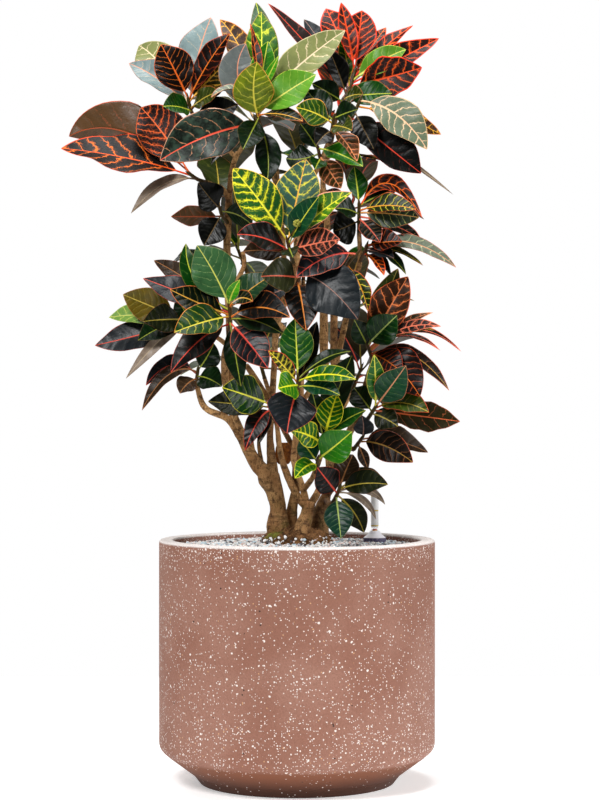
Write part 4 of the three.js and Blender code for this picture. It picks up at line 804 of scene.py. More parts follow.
# The leafy shoots at the front. stem is the green stem, from its foot up. A leaf is its kind, column and row
# of its tip, how far its tip lies behind its foot, width, turn, rise and sway, from the lowest up.
frontShoots = {
    "shoot_j": {
        "slot": "green_leaves",
        "stem": [[293, 264, -112], [290, 252, -128], [287, 240, -136]],
        "bud": {"stalkEnd": [297, 227, -152], "radius": 6.5, "budRadius": 2.1, "buds": 16},
        "leaves": [
            ["umber", 243, 252, -10, 42, 20, 0.06], ["blackRed", 237, 235, -45, 50, 32, 0.12],
            ["coralPatch", 340, 240, -40, 50, -24, 0], ["darkGreen", 293, 258, -55, 30, 0, 0],
            ["giltPink", 352, 193, -35, 46, -38, 0.1], ["teal", 319, 197, -20, 44, -25, 0.03],
            ["blueNet", 306, 160, 15, 72, -6, 0.02], ["net", 233, 169, 5, 66, 8, 0.04],
        ],
    },
    "shoot_m": {
        "slot": "dark_leaves",
        "stem": [[229, 337, -92], [230, 320, -104], [229, 303, -114]],
        "leaves": [
            ["blackRed", 171, 373, -45, 50, 28, 0.16], ["blackDash", 268, 369, -50, 58, -12, 0.05],
            ["darkGreen", 241, 387, -15, 36, 8, 0.05], ["darkGreen", 282, 334, -25, 38, -30, 0.14],
            ["blackOrange", 290, 318, -60, 52, -32, 0.24], ["giltOrange", 174, 333, -55, 60, 24, 0.02],
            ["darkOrange", 170, 290, -30, 50, 26, -0.08], ["slateRed", 143, 279, 0, 50, 30, -0.02],
            ["umber", 154, 261, 35, 46, 42, 0.02], ["green", 186, 244, 0, 38, 10, -0.12, -0.3],
            ["tealOrange", 272, 276, -15, 50, -32, 0.05], ["darkOrange", 253, 302, -40, 28, -40, 0.3],
            ["tealSheen", 197, 246, 5, 72, 4, 0, 0.06], ["lime", 240, 280, -25, 20, 0, 0, -0.1],
        ],
    },
    "shoot_p": {
        "slot": "green_leaves",
        "stem": [[299, 402, -134], [298, 389, -148], [298, 377, -156]],
        "leaves": [
            ["black", 317, 322, 30, 34, -10, 0], ["slateRed", 287, 434, -45, 76, 0, 0.1, -0.04],
            ["teal", 340, 396, -40, 38, -35, 0.12], ["vivid", 278, 389, -50, 46, 16, 0.02],
            ["darkNet", 268, 351, -20, 30, 30, 0], ["greenBold", 356, 380, -50, 32, -34, 0.14],
            ["darkGreen", 351, 352, -10, 26, -45, 0.16], ["greenVein", 295, 319, 12, 54, 2, 0],
        ],
    },
    "shoot_q": {
        "slot": "green_leaves",
        "stem": [[322, 454, -113], [323, 444, -125], [325, 436, -134]],
        "leaves": [
            ["bold", 290, 431, -50, 42, 18, 0.1], ["darkGreen", 352, 356, 60, 50, -20, 0.05],
            ["darkGreen", 312, 392, 5, 40, 10, 0], ["green", 366, 411, -20, 34, -35, 0.1],
            ["bold", 337, 395, 8, 46, -4, 0],
        ],
    },
    "shoot_q_low": {
        "slot": "green_leaves",
        "stem": [[316, 473.5, -99], [317, 466, -112], [318, 459, -121]],
        "leaves": [
            ["vivid", 295, 479, -40, 32, 30, 0.24], ["teal", 300, 440, 10, 40, 15, 0],
            ["glossGreen", 352, 432, -20, 56, -18, -0.03],
        ],
    },
    "shoot_o": {
        "slot": "green_leaves",
        "stem": [[276, 422, -53], [273, 413, -60], [270, 404, -66]],
        "leaves": [
            ["black", 258, 446, -25, 18, 15, 0.2], ["blackRed", 245, 451, -25, 34, 18, 0.34],
            ["oliveDark", 208, 402, -15, 54, 32, -0.04], ["richGreen", 222, 388, -50, 62, 18, 0],
        ],
    },
    "shoot_t_left": {
        "slot": "dark_leaves",
        "stem": [[287, 299, -95], [296, 286, -118], [301, 273, -128]],
        "leaves": [
            ["slate", 257, 302, 10, 28, 20, 0.05], ["blackOrange", 306, 331, -35, 58, -12, 0.2, -0.02],
            ["oliveGrey", 261, 277, -50, 58, 8, 0.04], ["slate", 358, 320, -45, 84, -8, 0.2],
        ],
    },
    "shoot_t": {
        "slot": "dark_leaves",
        "stem": [[335, 302, -90], [340, 281, -108], [348, 264, -120], [358, 253, -124]],
        "leaves": [
            ["striped", 368, 312, -15, 28, -25, 0.08, 0.06], ["blackDash", 296, 278, -20, 56, 28, 0.2],
        ],
    },
    "shoot_c": {
        "slot": "pale_leaves",
        "stem": [[269, 145, -49], [261, 128, -60], [257, 110, -66], [259, 94, -66]],
        "leaves": [
            ["darkGreen", 267, 183, -25, 42, -10, 0.02, 0.12], ["darkDash", 160, 161, -50, 86, 16, 0.1],
            ["black", 211, 165, -10, 42, 55, 0.14], ["yellowOlive", 257, 62, -45, 66, 0, -0.02, -0.15],
            ["darkGreen", 243, 150, -50, 44, 0, 0], ["darkOrange", 303, 122, -50, 36, -50, 0.08],
            ["paleGreen", 316, 75, -20, 60, -18, 0.02], ["blueGrey", 246, 44, 5, 60, 4, 0, -0.4],
            ["tiger", 220, 20, 75, 46, 15, 0.1, 0.08], ["silver", 211, 98, -40, 26, 72, 0.4],
            ["sage", 345, 31, 20, 60, -14, 0.04], ["greenYellow", 261, 12, 45, 54, 8, 0, 0.03],
            ["ember", 250, 24, 30, 26, 60, 0], ["glossGreen", 268, 42, 0, 40, -8, 0],
            ["green", 256, 3, 75, 40, 0, 0, 0.08], ["lime", 279, 56, -5, 14, 0, 0],
        ],
    },
    "shoot_f": {
        "slot": "green_leaves",
        "stem": [[330, 143, -70], [332, 130, -84], [334, 118, -92]],
        "leaves": [
            ["black", 316, 146, -30, 34, 10, 0.15], ["coral", 357, 162, -30, 38, -38, 0.1],
            ["olive", 352, 131, -45, 38, -25, 0.04], ["gilt", 296, 108, -20, 44, 15, 0.1],
            ["darkGreen", 306, 90, 5, 46, 10, -0.05], ["darkGreen", 358, 110, -20, 40, -22, 0.02],
        ],
    },
    "shoot_r": {
        "slot": "dark_leaves",
        "stem": [[333, 503, -72], [337, 495, -86], [340, 487, -96]],
        "leaves": [
            ["blueGreen", 341, 539, -30, 46, 2, 0.05], ["oliveDark", 364, 533, 20, 36, 10, 0.12, 0.12],
            ["blackRed", 317, 468, 5, 46, 12, -0.02], ["withered", 376, 520, 10, 12, 0, 0.3, 0.2],
            ["withered", 385, 505, 0, 14, 0, 0.34, 0.2], ["oliveDark", 388, 485, -35, 46, -28, 0.1],
            ["oliveDark", 382, 478, 10, 38, -30, 0.16], ["umber", 353, 455, 15, 42, -10, 0.05],
        ],
    },
    "shoot_a": {
        "slot": "pale_leaves",
        "stem": [[198, 125, -20], [191, 111, -28], [188, 98, -34]],
        "leaves": [
            ["black", 238, 105, -10, 46, -10, -0.12], ["green", 163, 107, -45, 46, 30, 0.08],
            ["black", 232, 74, -5, 36, -20, 0.08], ["olive", 219, 92, -40, 38, -35, 0.05],
            ["mist", 129, 64, 35, 54, 24, 0.08], ["sage", 139, 46, 60, 72, 8, 0.12],
            ["mist", 211, 18, 45, 66, -12, 0.02, -0.04], ["orangeVein", 228, 62, -15, 56, -14, 0.02],
            ["emberDark", 230, 34, 10, 44, -28, 0.06], ["emberBig", 161, 45, -8, 66, 6, 0.02],
        ],
    },
    "shoot_b": {
        "slot": "red_leaves",
        "stem": [[207, 183, -17], [198, 180, -32], [189, 174, -44]],
        "leaves": [
            ["withered", 131, 214, -20, 26, 30, 0.28], ["umberBack", 69, 137, 45, 90, 150, 0.34, -0.12],
            ["emberNet", 61, 149, -15, 98, 50, 0], ["redNet", 141, 108, 40, 82, 4, 0.08],
        ],
    },
    "shoot_k": {
        "slot": "green_leaves",
        "stem": [[228, 224, 12], [222, 216, -4], [219, 206, -12]],
        "leaves": [
            ["umberBack", 171, 217, -15, 40, 140, -0.04], ["black", 204, 246, -10, 50, 0, -0.02],
            ["darkGreen", 252, 226, 50, 48, -20, 0.14], ["black", 198, 183, -30, 52, 16, -0.1],
            ["olive", 214, 154, 45, 74, 10, 0],
        ],
    },
    "shoot_d": {
        "slot": "red_leaves",
        "stem": [[335, 120, -20.5], [342, 104, -24], [351, 86, -26], [356, 66, -26]],
        "leaves": [
            ["darkGreen", 312, 84, -15, 40, 15, 0], ["olive", 363, 95, -35, 32, -30, 0.08],
            ["green", 392, 94, -30, 46, -20, 0], ["black", 329, 50, -5, 36, 15, 0.02],
            ["redGrey", 268, 4, 0, 30, 30, 0, -0.02], ["slate", 304, 20, 10, 46, 22, 0.02],
            ["gilt", 342, 32, -15, 24, 10, 0.02], ["scarletWide", 422, 68, -20, 72, -12, -0.03],
            ["emberRed", 439, 39, 0, 46, -20, -0.04], ["paleGreen", 406, 50, -25, 42, -30, 0.08],
            ["emberRed", 413, 26, 25, 34, -30, 0], ["ember", 386, 28, 50, 32, -20, 0],
            ["scarlet", 326, 9, 30, 60, 15, 0], ["scarlet", 341, 3, 45, 32, 8, 0],
            ["scarlet", 362, 11, 5, 58, 0, 0.02],
        ],
    },
    "shoot_e": {
        "slot": "pale_leaves",
        "stem": [[338, 143, -42], [346, 129, -53], [354, 114, -60], [361, 99, -64]],
        "leaves": [
            ["withered", 453, 195, -10, 8, 0, 0.05], ["blackRed", 421, 174, -5, 72, -16, -0.04],
            ["black", 374, 150, -30, 46, 0, 0], ["tiger", 441, 135, 35, 46, -30, 0.04],
            ["greyNet", 427, 150, -35, 60, -14, 0.2, 0.08],
        ],
    },
    "shoot_g": {
        "slot": "green_leaves",
        "stem": [[323, 172, -37], [320, 158, -56], [318, 148, -66]],
        "leaves": [
            ["green", 315, 170, -30, 30, 0, 0.05], ["coral", 341, 189, -30, 40, 0, 0],
            ["darkGreen", 286, 159, -15, 46, 20, -0.2], ["darkGreen", 300, 124, 0, 36, 20, 0.02],
            ["glossGreen", 363, 167, -45, 44, -32, 0.05],
        ],
    },
    "shoot_h": {
        "slot": "dark_leaves",
        "stem": [[359, 233, -60], [359, 218, -67], [359, 204, -74]],
        "leaves": [
            ["black", 333, 232, 10, 58, 15, -0.08], ["pinkEdge", 380, 243, -30, 36, -20, 0.05],
            ["pinkEdge", 421, 240, -10, 40, -45, 0.06], ["darkGreen", 334, 209, -30, 38, 30, 0.1],
            ["greyStripe", 419, 218, -20, 50, -15, 0.02], ["striped", 416, 210, -38, 40, -35, 0.1],
            ["ember", 422, 218, 25, 36, -40, 0.85, -0.1], ["darkGreen", 396, 190, 15, 40, -30, 0.05],
            ["green", 354, 167, 5, 34, 15, 0],
        ],
    },
    "shoot_i": {
        "slot": "dark_leaves",
        "stem": [[360, 262, -53], [364, 254, -68], [367, 245, -80]],
        "leaves": [
            ["black", 391, 276, -10, 26, -50, 0.2], ["ember", 384, 276, -20, 26, -45, 0.14],
            ["darkGreen", 406, 275, -10, 28, -50, 0.34], ["slate", 394, 259, -30, 32, -45, 0.04],
            ["olive", 423, 266, -10, 18, -50, 0.16], ["silver", 456, 268, -5, 28, -32, 0.27],
            ["emberDark", 402, 242, -20, 42, -30, 0.02],
        ],
    },
    "shoot_s_top": {
        "slot": "red_leaves",
        "stem": [[373, 362, -40], [370, 353, -52], [367, 345, -60]],
        "leaves": [
            ["emberDark", 420, 397, -35, 72, -20, 0.2, 0.04], ["umberStripe", 449, 391, -5, 32, -42, 0.36],
            ["emberDark", 402, 373, -40, 48, -25, 0.06], ["pinkEdge", 461, 352, 0, 18, -55, 0.42],
            ["pinkEdge", 440, 351, -15, 15, -55, 0.36], ["gilt", 434, 330, -25, 16, -50, 0.16],
            ["coralPatch", 441, 327, -5, 26, -45, 0.2], ["coral", 433, 313, 15, 20, -45, 0.08],
            ["darkGreen", 354, 320, -25, 36, 8, 0], ["coralNet", 408, 277, 0, 66, -10, 0],
            ["olive", 398, 269, 40, 44, -10, 0], ["deepGreen", 397, 316, -25, 54, -20, 0.02],
        ],
    },
    "shoot_s_middle": {
        "slot": "green_leaves",
        "stem": [[367, 420.5, -36], [372, 413, -50], [377, 405, -62]],
        "leaves": [
            ["oliveDark", 398, 427, -20, 40, -10, 0.1], ["darkGreen", 354, 388, 70, 40, 0, 0],
            ["oliveWave", 460, 422, -20, 54, -20, -0.02], ["oliveRed", 429, 413, -35, 46, -36, 0.22],
            ["boldThin", 374, 355, -30, 30, 15, 0], ["tealSalmon", 406, 366, -50, 52, -12, 0],
        ],
    },
    "shoot_s_low": {
        "slot": "dark_leaves",
        "stem": [[353.5, 450, -11], [358, 444, -20], [363, 437, -30]],
        "leaves": [
            ["umber", 368, 470, 10, 18, 0, 0.08], ["umberStripe", 413, 463, -30, 52, -8, 0.18],
            ["umber", 428, 453, -10, 46, -35, 0.14, -0.12], ["slate", 362, 416, -10, 34, 0, 0, 0.1],
        ],
    },
    "shoot_l": {
        "slot": "dark_leaves",
        "stem": [[201, 328, -38], [190, 323, -38], [178, 318, -38]],
        "leaves": [
            ["darkGreen", 177, 298, 0, 34, 0, 0], ["withered", 126, 379, -20, 22, 10, 0.26, 0.1],
            ["slateRed", 95, 346, -10, 52, 24, -0.05], ["darkGreen", 138, 341, -30, 46, 18, 0.1],
            ["oliveDark", 143, 322, -40, 50, 12, 0.02], ["mint", 109, 318, 10, 42, 28, 0.05],
            ["oliveGold", 123, 295, -15, 58, 0, 0],
        ],
    },
    "shoot_n": {
        "slot": "dark_leaves",
        "stem": [[197, 387, -1], [197, 378, -6], [198, 370, -12]],
        "leaves": [
            ["umber", 180, 394, -25, 34, 20, 0.1, -0.1], ["darkGreen", 222, 387, -35, 46, -20, 0.1],
            ["slateRed", 146, 386, 15, 36, 30, 0.5], ["umber", 142, 411, -15, 28, 34, 0.46],
            ["darkGreen", 214, 344, -5, 44, 10, 0, 0.05],
        ],
    },
}


# What all leaf kinds share. Lengths are in millimetres on the leaf, and noise scales are per millimetre.
leafSurface = {
    "wobbleScale": 0.055, "grainScale": 0.35, "blotchScale": 0.07, "breakScale": 0.11, "netScale": 0.125,
    "veinLean": 0.42, "veinBend": 0.011, "wobble": 1.25, "ribTaper": (1.15, 0.95), "grainTone": 0.3,
    "haloWidth": 2.4, "haloShare": 0.35, "netShare": 0.85, "pillow": 0.42, "roughness": 0.27,
    "grainRough": 0.16, "veinRough": 0.12, "netRough": 0.24, "specular": 0.2, "bump": (0.36, 0.001),
}


# Leaf surface: midrib, curved side veins, a finer net and the margin, all from the leaf's own place.
def leafMaterial(name):
    look = leafSurface
    wire, finish = newMaterial(name)
    where = wire.attribute("leafPlace", 1)
    along, aside, gap = where.part("X"), where.part("Y"), where.part("Z")
    widths = wire.attribute("widths", 1)
    ribWidth, veinWidth, edgeWidth = widths.part("X"), widths.part("Y"), widths.part("Z")
    habits = wire.attribute("habits", 1)
    strength, net, patch = habits.part("X"), habits.part("Y"), habits.part("Z")
    measures = wire.attribute("measures", 1)
    step, seed, length = measures.part("X"), measures.part("Y"), measures.part("Z")
    blade, second, vein, rib, edge = (wire.attribute(key, 0) for key in ("blade", "second", "vein", "rib", "edge"))
    flat = wire.node("ShaderNodeCombineXYZ", {}, {0: along, 1: aside, 2: seed * 37.0})
    wobble = wire.noise(flat, look["wobbleScale"], 3.0, 0.6) - 0.5
    grain = wire.noise(flat, look["grainScale"], 4.0, 0.6)
    blotch = wire.noise(flat, look["blotchScale"])
    across = abs(aside)
    reach = across / (across + gap + 0.01)
    turnSide = wire.math("GREATER_THAN", aside, 0.0)
    # side veins: they leave the midrib, bend towards the tip, and the two sides take turns
    root = along - across * look["veinLean"] - across * across * look["veinBend"]
    count = root / step + turnSide * 0.5 + wobble * look["wobble"] + seed * 3.0
    apart = abs(count.fract() - 0.5) * step * 0.92
    width = veinWidth * (1.05 - reach * 0.75) * (0.5 + grain * 0.9)
    broken = (wire.noise(flat, look["breakScale"]) + strength * 0.44).over(0.54, 0.7)
    veins = apart.over(width + 0.4, width * 0.6) * strength
    veins = veins * reach.over(1.02, 0.86) * along.over(0.0, 6.0) * broken
    halo = apart.over(width + look["haloWidth"], width) * strength * net
    mesh = wire.cells(flat, look["netScale"], "DISTANCE_TO_EDGE")
    lines = mesh.over(0.10, 0.03) * net * strength * apart.over(7.0, 0.5) * blotch.over(0.35, 0.55)
    ribStart, ribLoss = look["ribTaper"]
    ribSize = ribWidth * (ribStart - along / length * ribLoss)
    midrib = across.over(ribSize + 0.5, ribSize * 0.7)
    margin = gap.over(edgeWidth * (0.6 + grain * 1.2) + 0.5, edgeWidth * 0.5)
    color = (blotch.over(0.42, 0.68) * patch).blend(blade, second)
    color = (grain.over(0.35, 0.75) * look["grainTone"]).blend(color, second)
    color = (halo * look["haloShare"]).blend(color, vein)
    color = (lines * look["netShare"]).blend(color, vein)
    color = veins.blend(color, vein)
    color = midrib.blend(color, rib)
    color = margin.blend(color, edge)
    pillow = apart.over(0.0, step * look["pillow"])
    bumps = pillow * 0.9 + grain * 0.12 - midrib * 0.6
    rough = look["roughness"] + grain * look["grainRough"] + veins * look["veinRough"] + net * look["netRough"]
    return finish({
        "Base Color": color, "Roughness": rough, "Specular IOR Level": look["specular"],
        "Normal": wire.bump(bumps, *look["bump"]),
    })


# Kinds of leaf. Colours of blade, second tone, side veins, midrib and margin, then half widths of midrib and
# side veins and the margin's width in millimetres, then the strength of the veins, the net and the second tone.
leafKinds = {
    "net": ["#226828 #4e9c2c #e4e022 #ece63c #f0c43c", (1.6, 1.2, 0.9), (1, 0.9, 0.3)],
    "blueNet": ["#4c7068 #668e5c #e0d63c #f4b246 #f8c65a", (1.2, 0.8, 0.9), (0.95, 0.7, 0.4)],
    "giltPink": ["#4c8026 #74aa30 #e4e232 #e8e63c #f6a484", (1.5, 1.0, 1.1), (0.9, 0.6, 0.3)],
    "vivid": ["#38861a #68b226 #c4d624 #e6e62c #d8de2c", (1.6, 0.55, 0.9), (0.5, 0.06, 0.4)],
    "bold": ["#1e761c #429820 #e8e41e #f0ea28 #ead828", (2.1, 0.75, 1.2), (0.7, 0.12, 0.35)],
    "boldThin": ["#28762a #4e9830 #c4ce46 #e2dc50 #cec446", (1.5, 0.5, 0.8), (0.6, 0.05, 0.4)],
    "greenBold": ["#1a701e #3e9422 #d6d824 #eee628 #bebe38", (1.7, 0.6, 0.7), (0.6, 0.1, 0.35)],
    "richGreen": ["#0c4810 #1c6418 #96b42c #e2de38 #cebe34", (1.6, 0.45, 0.9), (0.5, 0, 0.4)],
    "deepGreen": ["#185022 #2c6c2a #5a8038 #bece6e #606e32", (1.3, 0.4, 0.4), (0.45, 0, 0.35)],
    "yellowOlive": ["#7a8c22 #a4b02e #cec842 #e6d64a #e2923c", (1.5, 0.8, 1.0), (0.7, 0.2, 0.5)],
    "teal": ["#1e5a42 #347a4a #609252 #ced042 #7c783c", (1.2, 0.4, 0.4), (0.4, 0, 0.35)],
    # a teal leaf painted lighter and greyer all over: a painted sheen
    "tealSheen": ["#648e62 #42704a #96b06c #ced060 #969654", (1.2, 0.4, 0.4), (0.5, 0, 0.5)],
    "tealSalmon": ["#2a5e48 #3c7648 #709254 #dc966c #c8784e", (1.2, 0.4, 0.6), (0.4, 0, 0.3)],
    "tealOrange": ["#385e46 #50764c #828c50 #e2a846 #966e3c", (1.0, 0.4, 0.4), (0.45, 0, 0.35)],
    "green": ["#205e22 #3a822a #628c34 #c4cc3c #84742e", (1.2, 0.4, 0.4), (0.4, 0, 0.35)],
    "greenVein": ["#226a28 #3c8a2e #8cae3e #ced446 #968c38", (1.3, 0.5, 0.4), (0.6, 0.1, 0.3)],
    "glossGreen": ["#3e8a22 #62ac2e #7ca838 #d4d842 #b0be40", (1.4, 0.4, 0.5), (0.4, 0, 0.4)],
    "paleGreen": ["#7ab044 #94be54 #b8ce5c #dede60 #b0be40", (1.4, 0.4, 0.5), (0.5, 0, 0.4)],
    "greenYellow": ["#2c741a #7ca424 #d2d838 #dcde42 #be9638", (1.3, 1.0, 0.6), (0.8, 0.6, 0.7)],
    "lime": ["#54b032 #80c840 #b0cc46 #ced850 #b0be3c", (1.1, 0.4, 0.4), (0.4, 0, 0.4)],
    "mint": ["#9ebe70 #70a052 #ced668 #d6da6e #bec864", (1.3, 0.7, 0.5), (0.7, 0.3, 0.5)],
    "gilt": ["#346820 #649028 #aeb236 #e2ce3e #dc9636", (1.2, 0.5, 0.9), (0.6, 0.1, 0.4)],
    "giltOrange": ["#225826 #42762a #cec43c #e8d642 #e68c38", (1.3, 0.6, 0.8), (0.65, 0.1, 0.35)],
    "darkGreen": ["#16361a #285422 #3e5c26 #96a034 #604c26", (1.0, 0.35, 0.4), (0.3, 0, 0.4)],
    "darkNet": ["#142812 #345018 #d8c634 #e2c638 #ce4a28", (1.2, 0.8, 0.9), (0.9, 0.6, 0.3)],
    "darkOrange": ["#142a16 #223e1a #968034 #e2a63e #de702e", (1.3, 0.45, 0.8), (0.5, 0, 0.4)],
    "darkDash": ["#222a22 #5c7062 #e8a070 #e6543a #d89c78", (1.7, 0.55, 0.9), (0.5, 0, 0.6)],
    "striped": ["#1e3818 #365c20 #d6c832 #eca032 #dc602c", (1.2, 0.65, 0.8), (0.85, 0.1, 0.3)],
    "greyStripe": ["#425442 #5a684e #bab868 #e2a054 #c47442", (1.2, 0.5, 0.6), (0.65, 0.05, 0.4)],
    "blueGreen": ["#265448 #3c6c4c #68885c #aabc60 #6e7042", (1.2, 0.4, 0.4), (0.45, 0, 0.4)],
    "pinkEdge": ["#1e2a1a #363620 #966a40 #e66850 #ea7054", (1.3, 0.45, 1.0), (0.5, 0, 0.4)],
    "olive": ["#4a5824 #68742e #828236 #c0a63e #b0602e", (1.1, 0.45, 0.6), (0.5, 0, 0.4)],
    "oliveGold": ["#8e7c32 #706e2e #9c8e3e #ccb048 #b46832", (1.1, 0.45, 0.6), (0.5, 0, 0.5)],
    "oliveDark": ["#2c361c #424c22 #5a5a2a #b4a03c #784828", (1.1, 0.4, 0.4), (0.4, 0, 0.4)],
    "oliveRed": ["#4e6422 #6e7c2a #968238 #ceb442 #d24c2c", (1.2, 0.45, 0.9), (0.5, 0, 0.5)],
    "oliveWave": ["#464022 #60542c #d67046 #ce6036 #b05a3a", (1.2, 0.5, 0.7), (0.45, 0, 0.4)],
    "oliveGrey": ["#4e5234 #383a24 #6a6842 #d65a3e #966a34", (1.3, 0.4, 0.5), (0.35, 0, 0.4)],
    "black": ["#161916 #262b22 #3a3a2a #705832 #402c20", (0.9, 0.35, 0.3), (0.3, 0, 0.4)],
    "blackRed": ["#1c1e1d #2e2e2a #78382a #dc4632 #b03a28", (1.4, 0.35, 0.6), (0.35, 0, 0.4)],
    "blackDash": ["#2e3239 #323436 #de6046 #e24636 #ec7a5c", (1.5, 0.5, 0.9), (0.5, 0, 0.35)],
    "blackOrange": ["#1a1b18 #2c2a22 #96562a #ec8c34 #d2682c", (1.4, 0.4, 0.7), (0.4, 0, 0.35)],
    "coralPatch": ["#24201c #3e2e24 #e47454 #ea7858 #ec7c5c", (1.4, 0.9, 1.1), (0.95, 0.5, 0.4)],
    "slate": ["#3e464b #2a3136 #485050 #987062 #543e34", (0.9, 0.35, 0.3), (0.35, 0, 0.5)],
    "slateRed": ["#3a4147 #262b30 #5c4e4c #d84c38 #b84632", (1.3, 0.35, 0.6), (0.35, 0, 0.5)],
    "redGrey": ["#504440 #362c29 #964c3e #d44c36 #c44230", (1.2, 0.45, 0.6), (0.6, 0, 0.4)],
    "umber": ["#5c4a36 #423426 #684e36 #a87042 #8c4a2c", (1.1, 0.5, 0.5), (0.5, 0, 0.4)],
    "umberStripe": ["#32251a #483222 #925c38 #c09040 #ca5a36", (1.1, 0.5, 0.7), (0.65, 0.05, 0.3)],
    "umberBack": ["#845834 #644226 #b0502e #ce582e #d85a32", (1.3, 0.45, 0.7), (0.5, 0, 0.4)],
    "emberDark": ["#22140f #321b12 #c44e18 #e47422 #be401c", (1.1, 0.45, 0.6), (0.7, 0.05, 0.3)],
    "ember": ["#2a150e #421b11 #f06218 #f47422 #f05420", (1.3, 0.65, 1.1), (0.9, 0.2, 0.3)],
    "emberBig": ["#281b12 #3a2416 #e87422 #ec6a24 #de6026", (1.4, 0.55, 0.9), (0.6, 0, 0.4)],
    "emberRed": ["#32120d #521811 #fa5c18 #fa5422 #f63e1c", (1.6, 0.85, 1.5), (1, 0.5, 0.3)],
    "redNet": ["#2c1711 #4a2016 #f66828 #f86c2e #f6703a", (1.5, 0.62, 1.1), (1, 0.6, 0.35)],
    "emberNet": ["#22160d #341b10 #f87622 #fa6022 #f85024", (1.5, 0.85, 1.6), (1, 0.7, 0.3)],
    "scarlet": ["#3a140c #681c10 #ee5416 #f04a1a #ee3816", (1.8, 0.9, 1.9), (1, 0.4, 0.5)],
    "scarletWide": ["#2c120b #481a0e #f05c18 #fc5420 #fa381a", (1.8, 0.95, 2.0), (1, 0.5, 0.4)],
    "orangeVein": ["#3e4212 #545818 #e6a432 #eeb238 #e88032", (1.4, 0.7, 0.9), (0.9, 0.2, 0.3)],
    "coralNet": ["#50361e #6c462a #f68446 #fa8a4e #f66e3e", (1.6, 0.9, 1.1), (1, 0.3, 0.3)],
    "coral": ["#52542a #8c5434 #ec8c5a #f09660 #f4a070", (1.2, 0.6, 1.0), (0.8, 0.2, 0.6)],
    "tiger": ["#2a1d0f #94601a #e6a834 #ecaa34 #e68032", (1.1, 0.9, 0.9), (0.95, 0.4, 0.5)],
    "sage": ["#a4a876 #869268 #e0cca2 #eed6b0 #c8ba8e", (1.5, 0.8, 0.7), (0.85, 0.1, 0.3)],
    "silver": ["#98a090 #686c5e #cccea0 #d8a078 #ce7456", (1.2, 0.5, 0.6), (0.8, 0.1, 0.4)],
    "mist": ["#a0b0b0 #829697 #ceb896 #e29876 #d68c6e", (1.3, 0.5, 0.6), (0.55, 0, 0.4)],
    "blueGrey": ["#969c9a #768080 #8c8e80 #de8e6e #c89272", (1.2, 0.4, 0.5), (0.4, 0, 0.4)],
    "greyNet": ["#8a9680 #647a62 #e6c49c #f0c096 #eabe8a", (1.5, 0.75, 0.9), (0.95, 0.2, 0.3)],
    "withered": ["#baac9e #948270 #786858 #b29e82 #826854", (1.0, 0.4, 0.4), (0.5, 0, 0.7)],
    "stem": ["#625830 #74543a #685436 #685c36 #685c36", (0, 0, 0), (0, 0, 0.8)],
    "bud": ["#b0b25c #cec478 #b4b45a #b4b45a #b4b45a", (0, 0, 0), (0, 0, 0.6)],
}
toneNames = ["blade", "second", "vein", "rib", "edge"]
# Kinds whose margins run in and out: how far, as a share of the half width, and how often.
leafLobes = {"scarletWide": (0.09, 3.4), "oliveWave": (0.1, 4.2)}
leafForm = {
    "petiole": 0.13, "petioleRows": 4, "petioleRadius": 1.3, "widest": 0.92, "bluntness": 0.85,
    "fold": 16.0, "foldSpread": 9.0, "foldCurve": 1.15, "arch": 0.07,
    "wave": 0.06, "waves": 1.7, "waveShift": 0.35, "waveCurve": 1.4, "ripple": 0.011, "ripples": 4.3,
    "lowestFoot": 0.32, "highestFoot": 0.95, "bladeRows": 26, "blade": 0.32,
    "ribAbove": 0.25, "ribBelow": 0.95, "ribSpread": 1.4, "veinPairs": 7.2, "leastStep": 8.0, "stepSpread": 0.12,
    "across": [-1, -0.93, -0.77, -0.54, -0.3, -0.1, 0, 0.1, 0.3, 0.54, 0.77, 0.93, 1],
    "broad": 60, "broadStations": [0.14, 0.45, 0.8], "narrowStations": [0.2, 0.7],
}
leafLook = {  # the two lists are in the order of toneNames, and a power over 1 makes a tone deeper
    "powers": [1.42, 1.42, 1.0, 1.0, 1.0], "darkest": 0.66, "lightest": 0.96, "veinShade": 0.95,
    "back": paint(92, 80, 52), "backShares": [0.36, 0.36, 0.2, 0.2, 0.2],
}


def leafTones(kind):  # the five colours of a kind, its widths and its habits
    colors, widths, habits = leafKinds[kind]
    values = [paint(*bytes.fromhex(color[1:])) for color in colors.split()]
    return [np.array(value[:3]) ** power for value, power in zip(values, leafLook["powers"])], widths, habits


def widthShare(u):  # half width as a share of the greatest: sin(pi u^widest)^bluntness
    return np.maximum(np.sin(math.pi * np.clip(u, 0, 1) ** leafForm["widest"]), 0) ** leafForm["bluntness"]


# A leaf's midrib: foot (1-s)^2 + bend 2s(1-s) + tip s^2, with the frame that its face gives.
def ribAt(leaf, s):
    s = np.asarray(s, float)[:, None]
    foot, tip, bend, face = leaf["foot"], leaf["tip"], leaf["bend"], leaf["face"]
    place = foot * (1 - s) ** 2 + bend * 2 * s * (1 - s) + tip * s ** 2
    along = unit((bend - foot) * (1 - s) + (tip - bend) * s)
    up = unit(face - along * dot(face[None], along))
    return place, up, np.cross(along, up)


def marginOffset(leaf, u, sign):  # how far a margin stands off its half blade
    turns = leafForm["waves"] * u + leaf["phase"] + leafForm["waveShift"] * sign
    return leaf["width"] * leafForm["wave"] * np.sin(2 * math.pi * turns) * np.sin(math.pi * np.clip(u, 0, 1))


# A leaf from its foot to its tip. Its midrib bends at the middle by its arch towards its face, by its rise
# upwards and by its sway to the right, all as shares of its length.
def leafBetween(foot, tip, face, width, rise, sway, key):
    length = float(np.linalg.norm(tip - foot))
    bend = (foot + tip) / 2 + face * leafForm["arch"] * length + np.array([sway * length, 0, rise * length])
    fold = math.radians(leafForm["fold"] + leafForm["foldSpread"] * (2 * float(draw(key)) - 1))
    return {"foot": foot, "tip": tip, "bend": bend, "face": face, "width": width, "fold": fold,
            "phase": float(draw(key + 0.5)), "length": length, "key": key}


